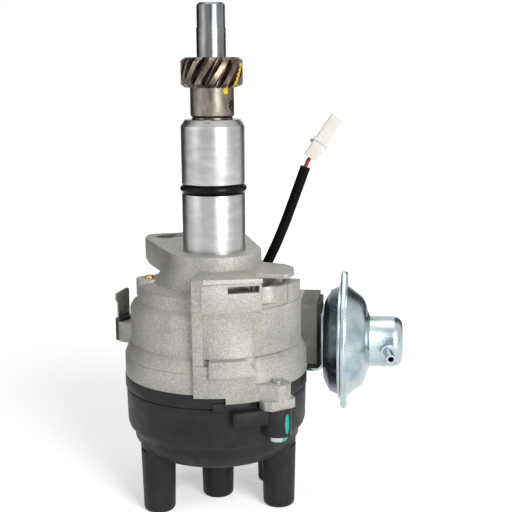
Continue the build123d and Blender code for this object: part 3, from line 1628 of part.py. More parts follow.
# Link rod: flat strip with an eye on the pickup's pin, riveted to the diaphragm
link_end_x = diaphragm_x - sheet - 3
cup_x = front_shell_x + sheet
with BuildPart() as link_rod:
    with BuildSketch(Plane.XY.offset(unit_z - link_thickness / 2)):
        span(link_eye_x, link_end_x, unit_y - link_width / 2, unit_y + link_width / 2)
        with Locations((link_eye_x, unit_y)):
            Circle(link_width / 2 + 0.8)
        with Locations(link_eye_place):
            Circle(link_pin_r + link_pin_play, mode=Mode.SUBTRACT)
    extrude(amount=link_thickness)
    with BuildSketch(Plane.YZ.offset(link_end_x - 0.5)):
        with Locations((unit_y, unit_z)):
            Circle(link_stem_r)
    extrude(amount=cup_x - link_end_x + 0.5)
    with BuildSketch(Plane.YZ.offset(cup_x)):
        with Locations((unit_y, unit_z)):
            Circle(link_head_r)
    extrude(amount=1.4)
save(link_rod, "link_rod")

# Spring between the cup and the neck's end, its coils drawn as one ribbed sleeve
spring_coils = 7
with BuildPart() as vacuum_spring:
    spring_end_x = neck_end_x - sheet
    pitch = (spring_end_x - cup_x) / spring_coils
    with BuildSketch(unit_plane):
        ribs = [(cup_x, vacuum_spring_r - 1.8)]
        for coil in range(spring_coils):
            ribs += [
                (cup_x + pitch * coil, vacuum_spring_r - 0.9),
                (cup_x + pitch * (coil + 0.5), vacuum_spring_r),
            ]
        ribs += [(spring_end_x, vacuum_spring_r - 0.9), (spring_end_x, vacuum_spring_r - 1.8)]
        Polygon(*ribs, align=None)
    revolve(axis=unit_axis)
save(vacuum_spring, "vacuum_spring")

# Grommet in the shoulder, round the lead
grommet_tail = 0.6
grommet_flange = 1.5
with BuildPart() as grommet:
    with BuildSketch(lead_plane.offset(-grommet_tail)):
        Circle(grommet_r)
    extrude(amount=grommet_pad + grommet_tail)
    with BuildSketch(lead_plane.offset(grommet_pad)):
        Circle(grommet_flange_r)
    extrude(amount=grommet_flange)
    with BuildSketch(lead_plane.offset(-grommet_tail)):
        Circle(sleeve_cable_r)
    extrude(amount=grommet_tail + grommet_pad + grommet_flange, mode=Mode.SUBTRACT)
save(grommet, "grommet")


# Path through the points of a cord, each corner as round as its runs allow
def cord_path(points):
    points = [Vector(*point) for point in points]
    radii = []
    for before, corner, after in zip(points, points[1:], points[2:]):
        arriving = corner - before
        leaving = after - corner
        half_turn = radians(arriving.get_angle(leaving) / 2)
        radii.append(0.45 * min(arriving.length, leaving.length) / tan(half_turn))
    print("corner radii", [round(radius, 1) for radius in radii])
    with BuildLine() as path:
        FilletPolyline(*points, radius=radii)
    return path.wires()[0]


# Round cord along a path
def cord_tube(path, radius):
    with BuildPart() as tube:
        with BuildSketch(Plane(origin=path @ 0, z_dir=path % 0)):
            Circle(radius)
        sweep(path=path)
    share = tube.part.volume / (pi * radius**2 * path.length)
    print("cord length", round(path.length, 2), "volume share", round(share, 4))
    return tube


lead_sleeve = cord_tube(cord_path(lead_route), sleeve_cable_r)
save(lead_sleeve, "lead_sleeve")

# Two wires from the sleeve's end to the connector's rear face
sleeve_end = Vector(*lead_route[-1])
sleeve_direction = (sleeve_end - Vector(*lead_route[-2])).normalized()
connector_start = Vector(*connector_rear)
connector_axis = Vector(*connector_front) - connector_start
connector_direction = connector_axis.normalized()
connector_side = Vector(0, 1, 0).cross(connector_direction)
connector_plane = Plane(origin=connector_start, x_dir=connector_side, z_dir=connector_direction)
wire_side = sleeve_direction.cross(connector_direction).normalized()
wire_corner = sleeve_end + sleeve_direction * 2.2
for name, side in (("red_wire", -1), ("black_wire", 1)):
    wire_shift = wire_side * (side * wire_spread)
    wire_points = [sleeve_end + wire_shift, wire_corner + wire_shift, connector_start + wire_shift]
    save(cord_tube(cord_path(wire_points), wire_r), name)

# Connector: body, collar, narrower front, nose with its mouth, and a latch tab on each side
connector_length = connector_axis.length
body_length = 8.0
nose_length = 4.3
with BuildPart() as connector:
    for start, end, margin in (
        (0, body_length, 0),
        (body_length, connector_length - nose_length, -0.2),
        (connector_length - nose_length, connector_length, -0.4),
    ):
        with BuildSketch(connector_plane.offset(start)):
            RectangleRounded(connector_width + 2 * margin, connector_depth + 2 * margin, 0.8)
        extrude(amount=end - start)
    with BuildSketch(connector_plane.offset(body_length)):
        RectangleRounded(connector_width + 0.9, connector_depth + 0.9, 1)
    extrude(amount=0.9)
    with BuildSketch(connector_plane.offset(body_length - 2)):
        Rectangle(connector_width + 2.6, 2.4)
    extrude(amount=1.6)
    with BuildSketch(connector_plane.offset(connector_length - nose_length - 4)):
        Rectangle(connector_width - 2.4, connector_depth - 2.4)
    extrude(amount=nose_length + 4, mode=Mode.SUBTRACT)
save(connector, "connector")
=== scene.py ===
import json
import math

import bmesh
import bpy
from mathutils import Matrix, Vector


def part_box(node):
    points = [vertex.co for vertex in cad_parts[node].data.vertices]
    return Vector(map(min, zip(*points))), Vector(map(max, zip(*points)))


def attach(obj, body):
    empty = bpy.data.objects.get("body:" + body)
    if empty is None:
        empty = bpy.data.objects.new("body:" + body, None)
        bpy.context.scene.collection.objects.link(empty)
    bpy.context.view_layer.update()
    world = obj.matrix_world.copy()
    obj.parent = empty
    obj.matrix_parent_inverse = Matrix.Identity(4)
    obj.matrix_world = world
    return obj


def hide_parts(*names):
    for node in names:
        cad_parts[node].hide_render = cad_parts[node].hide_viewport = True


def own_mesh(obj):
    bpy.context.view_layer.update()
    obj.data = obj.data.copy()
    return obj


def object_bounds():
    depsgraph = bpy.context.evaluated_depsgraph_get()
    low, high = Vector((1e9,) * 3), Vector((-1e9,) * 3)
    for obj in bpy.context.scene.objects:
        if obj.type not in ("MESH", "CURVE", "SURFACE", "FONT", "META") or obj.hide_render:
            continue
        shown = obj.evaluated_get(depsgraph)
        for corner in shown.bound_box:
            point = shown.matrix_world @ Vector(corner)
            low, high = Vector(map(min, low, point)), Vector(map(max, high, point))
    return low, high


# An ignition distributor standing on its cap towers, drive gear up, on a white studio floor.
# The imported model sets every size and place; this script gives it its surfaces, camera and light.

mm = 0.001
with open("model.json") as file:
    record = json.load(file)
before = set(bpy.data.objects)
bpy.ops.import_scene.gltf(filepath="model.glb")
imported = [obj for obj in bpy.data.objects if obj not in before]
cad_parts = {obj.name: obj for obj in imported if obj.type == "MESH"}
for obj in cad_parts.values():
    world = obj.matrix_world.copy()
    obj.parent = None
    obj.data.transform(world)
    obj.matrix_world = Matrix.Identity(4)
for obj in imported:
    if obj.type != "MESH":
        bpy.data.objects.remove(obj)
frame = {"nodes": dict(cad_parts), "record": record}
cadLow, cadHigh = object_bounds()
nodes = frame["nodes"]
record = frame["record"]
bodyOf = {name: body for body, members in record["behaviour"]["bodies"].items() for name in members}
slotOf = {part["node"]: part["material_slot"] for part in record["subparts"]}
scene = bpy.context.scene
print("frame loaded:", len(nodes), "nodes")


def polar(r, angle, z=0.0):
    turn = math.radians(angle)
    return Vector((r * math.cos(turn), r * math.sin(turn), z))


# Directions away from the axis at an angle, and sideways from there
def facing(angle):
    outward = polar(1, angle)
    return outward, Vector((-outward.y, outward.x, 0))


def spotsAt(turns, radius, middle):
    return [(middle[0] + radius * math.cos(t), middle[1] + radius * math.sin(t)) for t in turns]


# Points on an arc, both ends included; angles in degrees
def arc(radius, first, last, steps, middle=(0, 0)):
    turns = [math.radians(first + (last - first) * step / steps) for step in range(steps + 1)]
    return spotsAt(turns, radius, middle)


def circle(radius, steps, middle=(0, 0)):
    return spotsAt([math.tau * step / steps for step in range(steps)], radius, middle)


def rectangle(left, right, low, high):
    return [(left, low), (right, low), (right, high), (left, high)]


# "#rrggbb" as the linear colour that a node wants
def srgb(code):
    def linear(value):
        return value / 12.92 if value <= 0.04045 else ((value + 0.055) / 1.055) ** 2.4

    return tuple(linear(int(code[i : i + 2], 16) / 255) for i in (1, 3, 5)) + (1.0,)


def addNode(tree, kind, links=None, **settings):
    node = tree.nodes.new(kind)
    for name, value in settings.items():
        setattr(node, name, value)
    for socket, value in (links or {}).items():
        if isinstance(value, bpy.types.NodeSocket):
            tree.links.new(value, node.inputs[socket])
        else:
            node.inputs[socket].default_value = value
    return node


def mathNode(tree, operation, *values):
    return addNode(tree, "ShaderNodeMath", dict(enumerate(values)), operation=operation).outputs[0]


# Carries a value from one span over to another, cut off at both ends
def remap(tree, value, before, after):
    ends = dict(zip(("From Min", "From Max", "To Min", "To Max"), (*before, *after)))
    return addNode(tree, "ShaderNodeMapRange", {"Value": value, **ends}).outputs[0]


# Noise over patches of a size in millimetres
def noiseNode(tree, place, patch, detail, **more):
    links = {"Vector": place, "Scale": 1 / (patch * mm), "Detail": detail, **more}
    return addNode(tree, "ShaderNodeTexNoise", links).outputs


def emptyMaterial(name):
    material = bpy.data.materials.new(name)
    material.use_nodes = True
    material.node_tree.nodes.clear()
    return material, material.node_tree


# Material with its shader, and the place of a point in the part's own frame
def startMaterial(name, metallic=0.0, roughness=0.5, **sockets):
    material, tree = emptyMaterial(name)
    shader = addNode(tree, "ShaderNodeBsdfPrincipled", {"Metallic": metallic, "Roughness": roughness})
    for socket, value in sockets.items():
        shader.inputs[socket.replace("_", " ")].default_value = value
    addNode(tree, "ShaderNodeOutputMaterial", {"Surface": shader.outputs[0]})
    place = addNode(tree, "ShaderNodeTexCoord").outputs["Object"]
    return material, tree, shader, place


noiseSpan = (0.3, 0.7)  # nearly all values of a noise texture lie between these


# Colour that wanders between stops over patches of a size in millimetres
def mottle(tree, place, stops, patch, detail=4.0, stretch=(1, 1, 1)):
    mapped = addNode(tree, "ShaderNodeMapping", {"Vector": place, "Scale": stretch})
    noise = noiseNode(tree, mapped.outputs[0], patch, detail)
    ramp = addNode(tree, "ShaderNodeValToRGB", {"Fac": noise[0]})
    marks = ramp.color_ramp.elements
    low, high = noiseSpan
    marks[0].position, marks[1].position = low, high
    marks[0].color, marks[1].color = srgb(stops[0]), srgb(stops[-1])
    for index, stop in enumerate(stops[1:-1]):
        mark = marks.new(low + (high - low) * (index + 1) / (len(stops) - 1))
        mark.color = srgb(stop)
    return ramp.outputs[0]


# Roughness that wanders between two values
def unevenRoughness(tree, place, shader, low, high, patch):
    noise = noiseNode(tree, place, patch, 3.0)
    tree.links.new(remap(tree, noise[0], noiseSpan, (low, high)), shader.inputs["Roughness"])


# Grain as a bump, and the lines of a tool over it: sizes and heights in millimetres
def grain(tree, place, shader, size, height, strength=1.0, lines=None):
    noise = noiseNode(tree, place, size, 3.0, Roughness=0.6)
    relief = {"Height": noise[0], "Distance": height * mm, "Strength": strength}
    bump = addNode(tree, "ShaderNodeBump", relief)
    if lines is not None:
        direction, pitch, depth = lines
        bands = {
            "Vector": place,
            "Scale": math.pi / (10 * pitch * mm),  # at scale 1 the bands are pi / 10 apart
            "Distortion": 1.2,
            "Detail": 2.0,
            "Detail Scale": 3.0,
        }
        wave = addNode(tree, "ShaderNodeTexWave", bands, bands_direction=direction)
        relief = {"Height": wave.outputs["Fac"], "Distance": depth * mm, "Strength": 1.0}
        bump = addNode(tree, "ShaderNodeBump", {**relief, "Normal": bump.outputs[0]})
    tree.links.new(bump.outputs[0], shader.inputs["Normal"])


# 1 inside an ellipsoid in the part's own frame, with an edge that wanders, else 0
def paintedArea(tree, place, centre, half, edge):
    def vectorStep(operation, links):
        return addNode(tree, "ShaderNodeVectorMath", links, operation=operation).outputs

    wobble = noiseNode(tree, place, paintWobble, 2.0)
    shifted = vectorStep("SUBTRACT", {0: wobble[1], 1: (0.5, 0.5, 0.5)})[0]
    scaled = vectorStep("SCALE", {0: shifted, "Scale": edge * mm})[0]
    moved = vectorStep("ADD", {0: place, 1: scaled})[0]
    away = vectorStep("SUBTRACT", {0: moved, 1: [c * mm for c in centre]})[0]
    ratio = vectorStep("MULTIPLY", {0: away, 1: [1 / (c * mm) for c in half]})[0]
    length = vectorStep("LENGTH", {0: ratio})["Value"]
    return mathNode(tree, "LESS_THAN", length, 1.0)


def mixColour(tree, share, first, second):
    mix = addNode(tree, "ShaderNodeMix", data_type="RGBA")
    for socket, value in zip((mix.inputs[0], mix.inputs[6], mix.inputs[7]), (share, first, second)):
        if isinstance(value, bpy.types.NodeSocket):
            tree.links.new(value, socket)
        else:
            socket.default_value = value
    return mix.outputs[2]


# Marking paint: each touch is a centre and half sizes in millimetres
paintWobble = 1.6  # size of the waves in its edge
tealPaint = {
    "colour": "#12a58c",
    "touches": [
        ((34.9, -34.3, -66.0), (1.1, 1.1, 4.4)),  # stroke down the cap's ear
        ((33.6, -31.6, -73.4), (1.7, 2.6, 2.2)),  # dab on the screw's head
    ],
    "edge": 0.5,
}
yellowPaint = {
    "colour": "#d2ae08",
    "lineR": 13.1,
    "line": [(-35, 70.2), (-31, 71.6), (-26, 73.2), (-21, 74.9), (-15, 76.8), (-9, 78.6)],
    "lineHalf": (0.75, 0.75, 1.3),
    "footR": 13.0,
    "foot": [(-47, 69.5), (-41, 69.6)],
    "footHalf": (1.3, 1.3, 0.55),
    "dotR": 9.3,
    "dot": (-42, 68.0),
    "dotHalf": (1.15, 1.15, 1.35),
    "edge": 0.7,
}


# Lays touches of paint over a material's colour and takes the metal out from under them
def paintOver(tree, shader, place, paint, touches):
    masks = [paintedArea(tree, place, centre, half, paint["edge"]) for centre, half in touches]
    covered = masks[0]
    for mask in masks[1:]:
        covered = mathNode(tree, "MAXIMUM", covered, mask)
    under = shader.inputs["Base Color"].links[0].from_socket
    painted = mixColour(tree, covered, under, srgb(paint["colour"]))
    tree.links.new(painted, shader.inputs["Base Color"])
    metal = shader.inputs["Metallic"].default_value
    if metal > 0:
        tree.links.new(remap(tree, covered, (0, 1), (metal, 0)), shader.inputs["Metallic"])


castTones = {
    "wide": ("#8c8b87", "#9d9b96", "#aaa79f"),
    "widePatch": 12.0,
    "fine": ("#6f6e6b", "#9f9d98", "#c9c6bf"),
    "finePatch": 0.7,  # coarser than the real grain, so that it shows
    "fineShare": 0.36,
    "boss": "#46473f",  # the vacuum boss coloured dark: a darker cast skin, and painted shade of the shadow it sits in
    "bossX": (36.3, 36.7),  # it fades in over this x, behind this y and above this z
    "bossY": 7.8,
    "bossZ": -53.2,
}


# Die-cast aluminium, shot-blasted: pale grey with a fine grain and no mirror gloss; the vacuum boss
# darker, partly as painted shade
def makeCastMetal():
    tones = castTones
    material, tree, shader, place = startMaterial("shot_blasted_casting", metallic=0.25)
    wide = mottle(tree, place, tones["wide"], tones["widePatch"])
    fine = mottle(tree, place, tones["fine"], tones["finePatch"], detail=2.0)
    tone = mixColour(tree, tones["fineShare"], wide, fine)
    # Painted shade over a darker cast skin: the vacuum boss, beyond this x, behind this y and above
    # this z, turns dark
    x, y, z = addNode(tree, "ShaderNodeSeparateXYZ", {0: place}).outputs
    beyond = remap(tree, x, [c * mm for c in tones["bossX"]], (0, 1))
    behind = mathNode(tree, "GREATER_THAN", y, tones["bossY"] * mm)
    above = mathNode(tree, "GREATER_THAN", z, tones["bossZ"] * mm)
    boss = mathNode(tree, "MULTIPLY", beyond, mathNode(tree, "MULTIPLY", behind, above))
    colour = mixColour(tree, boss, tone, srgb(tones["boss"]))
    tree.links.new(colour, shader.inputs["Base Color"])
    unevenRoughness(tree, place, shader, 0.42, 0.6, 3.0)
    grain(tree, place, shader, 0.7, 0.1, strength=0.5)
    return material


# Any other finish: stops over patches of a size, paint, roughness as (low, high, patch) and grain
# as (size, height, strength)
def makeFinish(
    name, stops, patch, rough, relief, paint=None, touches=(), stretch=(1, 1, 1), lines=None, **sockets
):
    material, tree, shader, place = startMaterial(name, **sockets)
    colour = mottle(tree, place, stops, patch, stretch=stretch)
    tree.links.new(colour, shader.inputs["Base Color"])
    if touches:
        paintOver(tree, shader, place, paint, touches)
    unevenRoughness(tree, place, shader, *rough)
    grain(tree, place, shader, *relief, lines=lines)
    return material


# Oiled machined steel: brown-grey, with brighter faces where the cutter passed
def makeGearSteel(name, stops, low, high, touches=()):
    rough, relief, stretch = (low, high, 1.5), (0.4, 0.012, 0.6), (1, 1, 0.4)
    return makeFinish(
        name, stops, 2.2, rough, relief, yellowPaint, touches, stretch, metallic=1.0, roughness=0.3
    )


# Plated steel: bright zinc with its thin blue film, or dull tin, softly uneven in its shine
def makeZincPlate(name, stops, low, high, patch, touches=()):
    rough, relief = (low, high, 5.0), (2.5, 0.012, 0.2)
    return makeFinish(
        name, stops, patch, rough, relief, tealPaint, touches, metallic=1.0, roughness=0.2
    )


# Rubber, plastic, cloth and board: one colour, from glossy sleeving to dull board
def makeSoftFinish(name, stops, low, high, patch=3.0, bump=0.02, size=0.5, **sockets):
    rough, relief = (low, high, 2.0), (size, bump, 0.4)
    return makeFinish(name, stops, patch, rough, relief, roughness=low, **sockets)


# Touches of yellow on a round surface, from their angles and heights
def yellowTouches(name, spots):
    half = yellowPaint[name + "Half"]
    return [(tuple(polar(yellowPaint[name + "R"], angle, z)), half) for angle, z in spots]


toothTouches = yellowTouches("line", yellowPaint["line"]) + yellowTouches("foot", yellowPaint["foot"])
hubTouches = yellowTouches("dot", [yellowPaint["dot"]])

# For most: stops of colour, then the lowest and highest roughness
brightZinc = ("#a3a7ab", "#bcc0c4", "#cfd2d4")
finishes = {
    "cast_housing": makeCastMetal(),
    # Bright, with the tool's fine rings, drawn coarser than real so that they show
    "turned_aluminium": makeFinish(
        "turned_aluminium",
        ("#9c9d9d", "#a5a6a6", "#b0b1b0"),
        9.0,
        (0.3, 0.36, 5.0),
        (0.9, 0.004, 0.4),
        stretch=(1, 1, 3),
        lines=("Z", 0.9, 0.004),
        metallic=1.0,
        roughness=0.3,
    ),
    # Ground bar: a near mirror, its colour darkened as a painted reflection of a dark room, with a
    # faint haze from handling
    "turned_steel": makeFinish(
        "ground_steel",
        ("#5c5e60", "#707274", "#818282"),
        5.0,
        (0.18, 0.28, 3.0),
        (0.9, 0.008, 0.5),
        stretch=(1, 1, 0.3),
        metallic=1.0,
        roughness=0.16,
    ),
    "gear_steel": makeGearSteel(
        "oiled_gear_steel", ("#4a4038", "#6b6056", "#857a6e"), 0.22, 0.36, toothTouches
    ),
    "hub_steel": makeGearSteel(
        "satin_hub_steel", ("#5f5950", "#777066", "#878075"), 0.3, 0.42, hubTouches
    ),
    "bronze": makeGearSteel("sintered_bronze", ("#8a6a3c", "#a07c48", "#b08c58"), 0.4, 0.5),
    "seal_rubber": makeSoftFinish(
        "nitrile_rubber", ("#060606", "#0d0d0e"), 0.2, 0.3, Specular_IOR_Level=0.12
    ),
    "spring_steel": makeGearSteel("oiled_spring_steel", ("#4d4d50", "#6b6b6f", "#85868a"), 0.25, 0.4),
    # Moulded polyester: nearly black, dull, with a faint moulding grain
    "cap_plastic": makeFinish(
        "cap_resin",
        ("#18181a", "#1e1e1f", "#252525"),
        6.0,
        (0.42, 0.58, 4.0),
        (0.45, 0.03, 0.35),
        tealPaint,
        tealPaint["touches"],
        Specular_IOR_Level=0.22,
    ),
    "rotor_plastic": makeSoftFinish("rotor_resin", ("#2a1c17", "#38261f"), 0.35, 0.5),
    "brass": makeGearSteel("drawn_brass", ("#a8823e", "#c39b52", "#d2ad66"), 0.25, 0.38),
    "carbon": makeSoftFinish("pressed_carbon", ("#121212", "#1c1c1c"), 0.5, 0.7),
    "plated_steel": makeZincPlate("zinc_plated_steel", brightZinc, 0.22, 0.36, 4.0),
    "vacuum_zinc": makeZincPlate(
        "blue_zinc_plate", ("#8b9ea8", "#a6b6bc", "#b9c6c7", "#b0bbaf"), 0.24, 0.34, 14.0
    ),
    # Painted shade and dark reflection: a darker copy of the blue zinc for the rear shell, which faces
    # away from the light
    "shaded_zinc": makeZincPlate(
        "shaded_zinc_plate", ("#55656d", "#6b7c84", "#7f8f95"), 0.26, 0.36, 10.0
    ),
    "tab_steel": makeZincPlate("dull_tinned_steel", ("#858884", "#9a9d98", "#a9aba6"), 0.4, 0.52, 1.5),
    "painted_screw": makeZincPlate(
        "marked_screw_zinc", brightZinc, 0.22, 0.36, 4.0, tealPaint["touches"]
    ),
    "copper_coil": makeSoftFinish("taped_winding", ("#141210", "#221d18"), 0.4, 0.6),
    "gasket_paper": makeSoftFinish("gasket_board", ("#161514", "#211f1d"), 0.6, 0.8),
    "diaphragm_rubber": makeSoftFinish("coated_fabric", ("#101010", "#191919"), 0.6, 0.75),
    "sleeve_black": makeSoftFinish(
        "glossy_sleeving", ("#050505", "#0a0a0a"), 0.12, 0.18, bump=0.002, Specular_IOR_Level=0.06
    ),
    "wire_red": makeSoftFinish(
        "red_wire_vinyl", ("#9b0d08", "#b8150d"), 0.25, 0.35, bump=0.004, Specular_IOR_Level=0.35
    ),
    "wire_black": makeSoftFinish("black_wire_vinyl", ("#070707", "#0d0d0d"), 0.25, 0.35, bump=0.004),
    "nylon_white": makeSoftFinish(
        "moulded_nylon", ("#cfcdc2", "#d6d4ca"), 0.4, 0.46, 6.0, 0.002, 3.0, Specular_IOR_Level=0.3
    ),
    "insulator_black": makeSoftFinish("moulded_insulator", ("#101011", "#1a1a1b"), 0.35, 0.5),
}
print("finishes ready:", len(finishes))

# Nodes whose finish is a variant of their slot's
variants = {
    "cap_screws": "painted_screw",
    "shoulder_rivet": "brass",
    # the rear shell takes the painted-shade copy of the zinc
    "rear_shell": "shaded_zinc",
    "vacuum_nipple": "vacuum_zinc",
}


def finishOf(name):
    return finishes[variants.get(name, slotOf[name])]


for name, node in nodes.items():
    node.data.materials.clear()
    node.data.materials.append(finishOf(name))


# Names a finished mesh, gives it its finish and lets it ride on its body
def finishPiece(piece, name, body, slotName, finish=None, sharpAngle=35):
    piece.name = name
    piece.data.name = name
    piece.data.materials.clear()
    piece.data.materials.append(finish or finishes[slotName])
    piece.data.polygons.foreach_set("use_smooth", [True] * len(piece.data.polygons))
    piece.data.set_sharp_from_angle(angle=math.radians(sharpAngle))
    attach(piece, body)


def newPiece(name, data):
    piece = bpy.data.objects.new(name, data)
    scene.collection.objects.link(piece)
    return piece


def applyModifiers(piece):
    bpy.context.view_layer.update()
    evaluated = piece.evaluated_get(bpy.context.evaluated_depsgraph_get())
    mesh = bpy.data.meshes.new_from_object(evaluated)
    piece.modifiers.clear()
    piece.data = mesh
    return piece


# Copy of a CAD node's mesh with its doubles merged and its flat faces joined
def mergedCopy(name, joinFaces=True):
    mesh = nodes[name].data.copy()
    work = bmesh.new()
    work.from_mesh(mesh)
    bmesh.ops.remove_doubles(work, verts=work.verts, dist=0.002 * mm)
    if joinFaces:
        flat = math.radians(1.0)
        bmesh.ops.dissolve_limit(work, angle_limit=flat, verts=work.verts, edges=work.edges)
    work.to_mesh(mesh)
    work.free()
    return newPiece(name + "_dressed", mesh)


# Rounds the sharp edges of a copy
def softenEdges(piece, width, segments=2, angle=28):
    bevel = piece.modifiers.new("edges", "BEVEL")
    bevel.width = width * mm
    bevel.segments = segments
    bevel.limit_method = "ANGLE"
    bevel.angle_limit = math.radians(angle)
    return applyModifiers(piece)


# Mesh of a finished form, its faces turned outwards
def meshFrom(work, name):
    bmesh.ops.recalc_face_normals(work, faces=work.faces)
    mesh = bpy.data.meshes.new(name)
    work.to_mesh(mesh)
    work.free()
    return mesh


# Closed ring of turned metal: profile of (along the axis, radius) in millimetres
def turnedMesh(profile, origin=(0, 0, 0), axis="Z", segments=96):
    work = bmesh.new()
    rings = []
    along, across, up = {
        "Z": (Vector((0, 0, 1)), Vector((1, 0, 0)), Vector((0, 1, 0))),
        "X": (Vector((1, 0, 0)), Vector((0, 1, 0)), Vector((0, 0, 1))),
    }[axis]
    start = Vector(origin) * mm
    for place, radius in profile:
        centre = start + along * (place * mm)
        if radius == 0:
            rings.append([work.verts.new(centre)])
            continue
        ring = []
        for index in range(segments):
            turn = 2 * math.pi * index / segments
            spoke = across * math.cos(turn) + up * math.sin(turn)
            ring.append(work.verts.new(centre + spoke * (radius * mm)))
        rings.append(ring)
    for first, second in zip(rings, rings[1:]):
        for index in range(segments):
            after = (index + 1) % segments
            if len(first) == 1:
                work.faces.new((first[0], second[index], second[after]))
            elif len(second) == 1:
                work.faces.new((first[index], second[0], first[after]))
            else:
                work.faces.new((first[index], second[index], second[after], first[after]))
    bmesh.ops.remove_doubles(work, verts=work.verts, dist=0.001 * mm)
    return meshFrom(work, "turned")


# Corners of a profile cut round: points are (along, radius, corner radius)
def roundedProfile(points, steps=5):
    rounded = []
    for index, (x, y, *corner) in enumerate(points):
        size = corner[0] if corner else 0
        if not size or index in (0, len(points) - 1):
            rounded.append((x, y))
            continue
        here = Vector((x, y))
        before = (Vector(points[index - 1][:2]) - here).normalized()
        after = (Vector(points[index + 1][:2]) - here).normalized()
        half = before.angle(after) / 2
        reach = size / math.tan(half)
        centre = here + (before + after).normalized() * (size / math.sin(half))
        first = here + before * reach - centre
        last = here + after * reach - centre
        sweep = first.angle_signed(last)
        for step in range(steps + 1):
            turn = -sweep * step / steps
            spot = Matrix.Rotation(turn, 2) @ first + centre
            rounded.append((spot.x, spot.y))
    return rounded


# Closed solid from an outline of corners, drawn on a plane and given a depth along its normal
def slabMesh(outline, origin, across, up, depth):
    across, up = Vector(across).normalized(), Vector(up).normalized()
    normal = across.cross(up)
    work = bmesh.new()
    base = Vector(origin) * mm
    ring = [work.verts.new(base + across * (x * mm) + up * (y * mm)) for x, y in outline]
    face = work.faces.new(ring)
    grown = bmesh.ops.extrude_face_region(work, geom=[face])
    moved = [item for item in grown["geom"] if isinstance(item, bmesh.types.BMVert)]
    bmesh.ops.translate(work, verts=moved, vec=normal * (depth * mm))
    return meshFrom(work, "slab")


# Adds or cuts other meshes, then drops them
def combine(piece, others, operation):
    for mesh in others:
        tool = newPiece("tool", mesh)
        boolean = piece.modifiers.new("form", "BOOLEAN")
        boolean.operation = operation
        boolean.solver = "EXACT"
        boolean.object = tool
        applyModifiers(piece)
        bpy.data.objects.remove(tool)


# Geometry Nodes tree with inputs of named kinds; build fills it and returns its last geometry
def makeTree(name, inputs, build, finish):
    tree = bpy.data.node_groups.new(name, "GeometryNodeTree")
    tree.interface.new_socket("Geometry", in_out="INPUT", socket_type="NodeSocketGeometry")
    for label, kind in inputs.items():
        tree.interface.new_socket(label, in_out="INPUT", socket_type="NodeSocket" + kind)
    tree.interface.new_socket("Geometry", in_out="OUTPUT", socket_type="NodeSocketGeometry")
    entry = addNode(tree, "NodeGroupInput")
    made = build(tree, entry.outputs)
    whole = addNode(tree, "GeometryNodeRealizeInstances", {0: made})
    look = {"Geometry": whole.outputs[0], "Material": finish}
    dressed = addNode(tree, "GeometryNodeSetMaterial", look)
    addNode(tree, "NodeGroupOutput", {"Geometry": dressed.outputs[0]})
    return tree


# Runs a tree on a new piece with its inputs set, and keeps the plain mesh
def growPiece(name, tree, values):
    piece = newPiece(name, bpy.data.meshes.new(name))
    modifier = piece.modifiers.new("grow", "NODES")
    modifier.node_group = tree
    for item in tree.interface.items_tree:
        if item.in_out == "INPUT" and item.name in values:
            modifier[item.identifier] = values[item.name]
    return applyModifiers(piece)


# Copies of one part turned about Z
def turnedCopies(tree, sockets):
    points = addNode(tree, "GeometryNodePoints", {"Count": sockets["Count"]})
    index = addNode(tree, "GeometryNodeInputIndex")
    step = mathNode(tree, "DIVIDE", math.tau, sockets["Count"])
    turn = mathNode(tree, "MULTIPLY_ADD", index.outputs[0], step, sockets["Start"])
    spin = addNode(tree, "ShaderNodeCombineXYZ", {"Z": turn})
    source = addNode(tree, "GeometryNodeObjectInfo", {"Object": sockets["Part"]})
    links = {
        "Points": points.outputs[0],
        "Instance": source.outputs["Geometry"],
        "Rotation": spin.outputs[0],
    }
    return addNode(tree, "GeometryNodeInstanceOnPoints", links).outputs[0]


wireSteps = {"turn": 20, "section": 8}


# Helical wire along +Z, then laid along its axis
def coiledWire(tree, sockets):
    path = {
        "Resolution": wireSteps["turn"],
        "Rotations": sockets["Coils"],
        "Start Radius": sockets["Radius"],
        "End Radius": sockets["Radius"],
        "Height": sockets["Length"],
    }
    spiral = addNode(tree, "GeometryNodeCurveSpiral", path)
    outline = {"Resolution": wireSteps["section"], "Radius": sockets["Wire"]}
    section = addNode(tree, "GeometryNodeCurvePrimitiveCircle", outline)
    swept = {0: spiral.outputs[0], 1: section.outputs[0], "Fill Caps": True}
    wire = addNode(tree, "GeometryNodeCurveToMesh", swept).outputs[0]
    laid = {"Geometry": wire, "Translation": sockets["Place"], "Rotation": sockets["Turn"]}
    return addNode(tree, "GeometryNodeTransform", laid).outputs[0]


# A CAD node's own shape with its edges rounded as the real process leaves them
def dressNode(name, width):
    piece = mergedCopy(name)
    softenEdges(piece, width)
    finishPiece(piece, name + "_dressed", bodyOf[name], slotOf[name], finishOf(name))
    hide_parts(name)


# Housing: the casting without its pilot, then the pilot turned as its own piece
pilotSize = {
    "r": 13.6,
    "top": 56.2,
    "nose": 11.8,
    "noseLength": 2.8,
    "noseCorner": 0.5,
    "rimCorner": 0.4,
    "bore": 8.6,
    "groove": 10.95,
    "grooveZ": 27.0,
    "grooveHalf": 2.1,
    "grooveCorner": 0.3,
    "foot": -0.6,
    "notchAngle": -91.0,
    "notchHalf": 1.4,
    "notchDepth": 1.3,
    "notchWall": 1.3,  # from the bore to where the notch starts
    "notchAbove": 3,
    "notchLength": 9,
    "cut": (0.05, 70),  # heights between which the casting loses its pilot
    "cutMargin": 1.4,
}
castEdge = 0.6

# Fine rings pressed into the casting's bell: the height and wall radius of each
castLines = {
    "grooves": [(-38.6, 37.15), (-44.4, 39.85)],
    "half": 0.28,
    "deep": 0.45,
    "level": 0.01,  # a point this near in height and in radius belongs to the ring
    "near": 0.5,
}


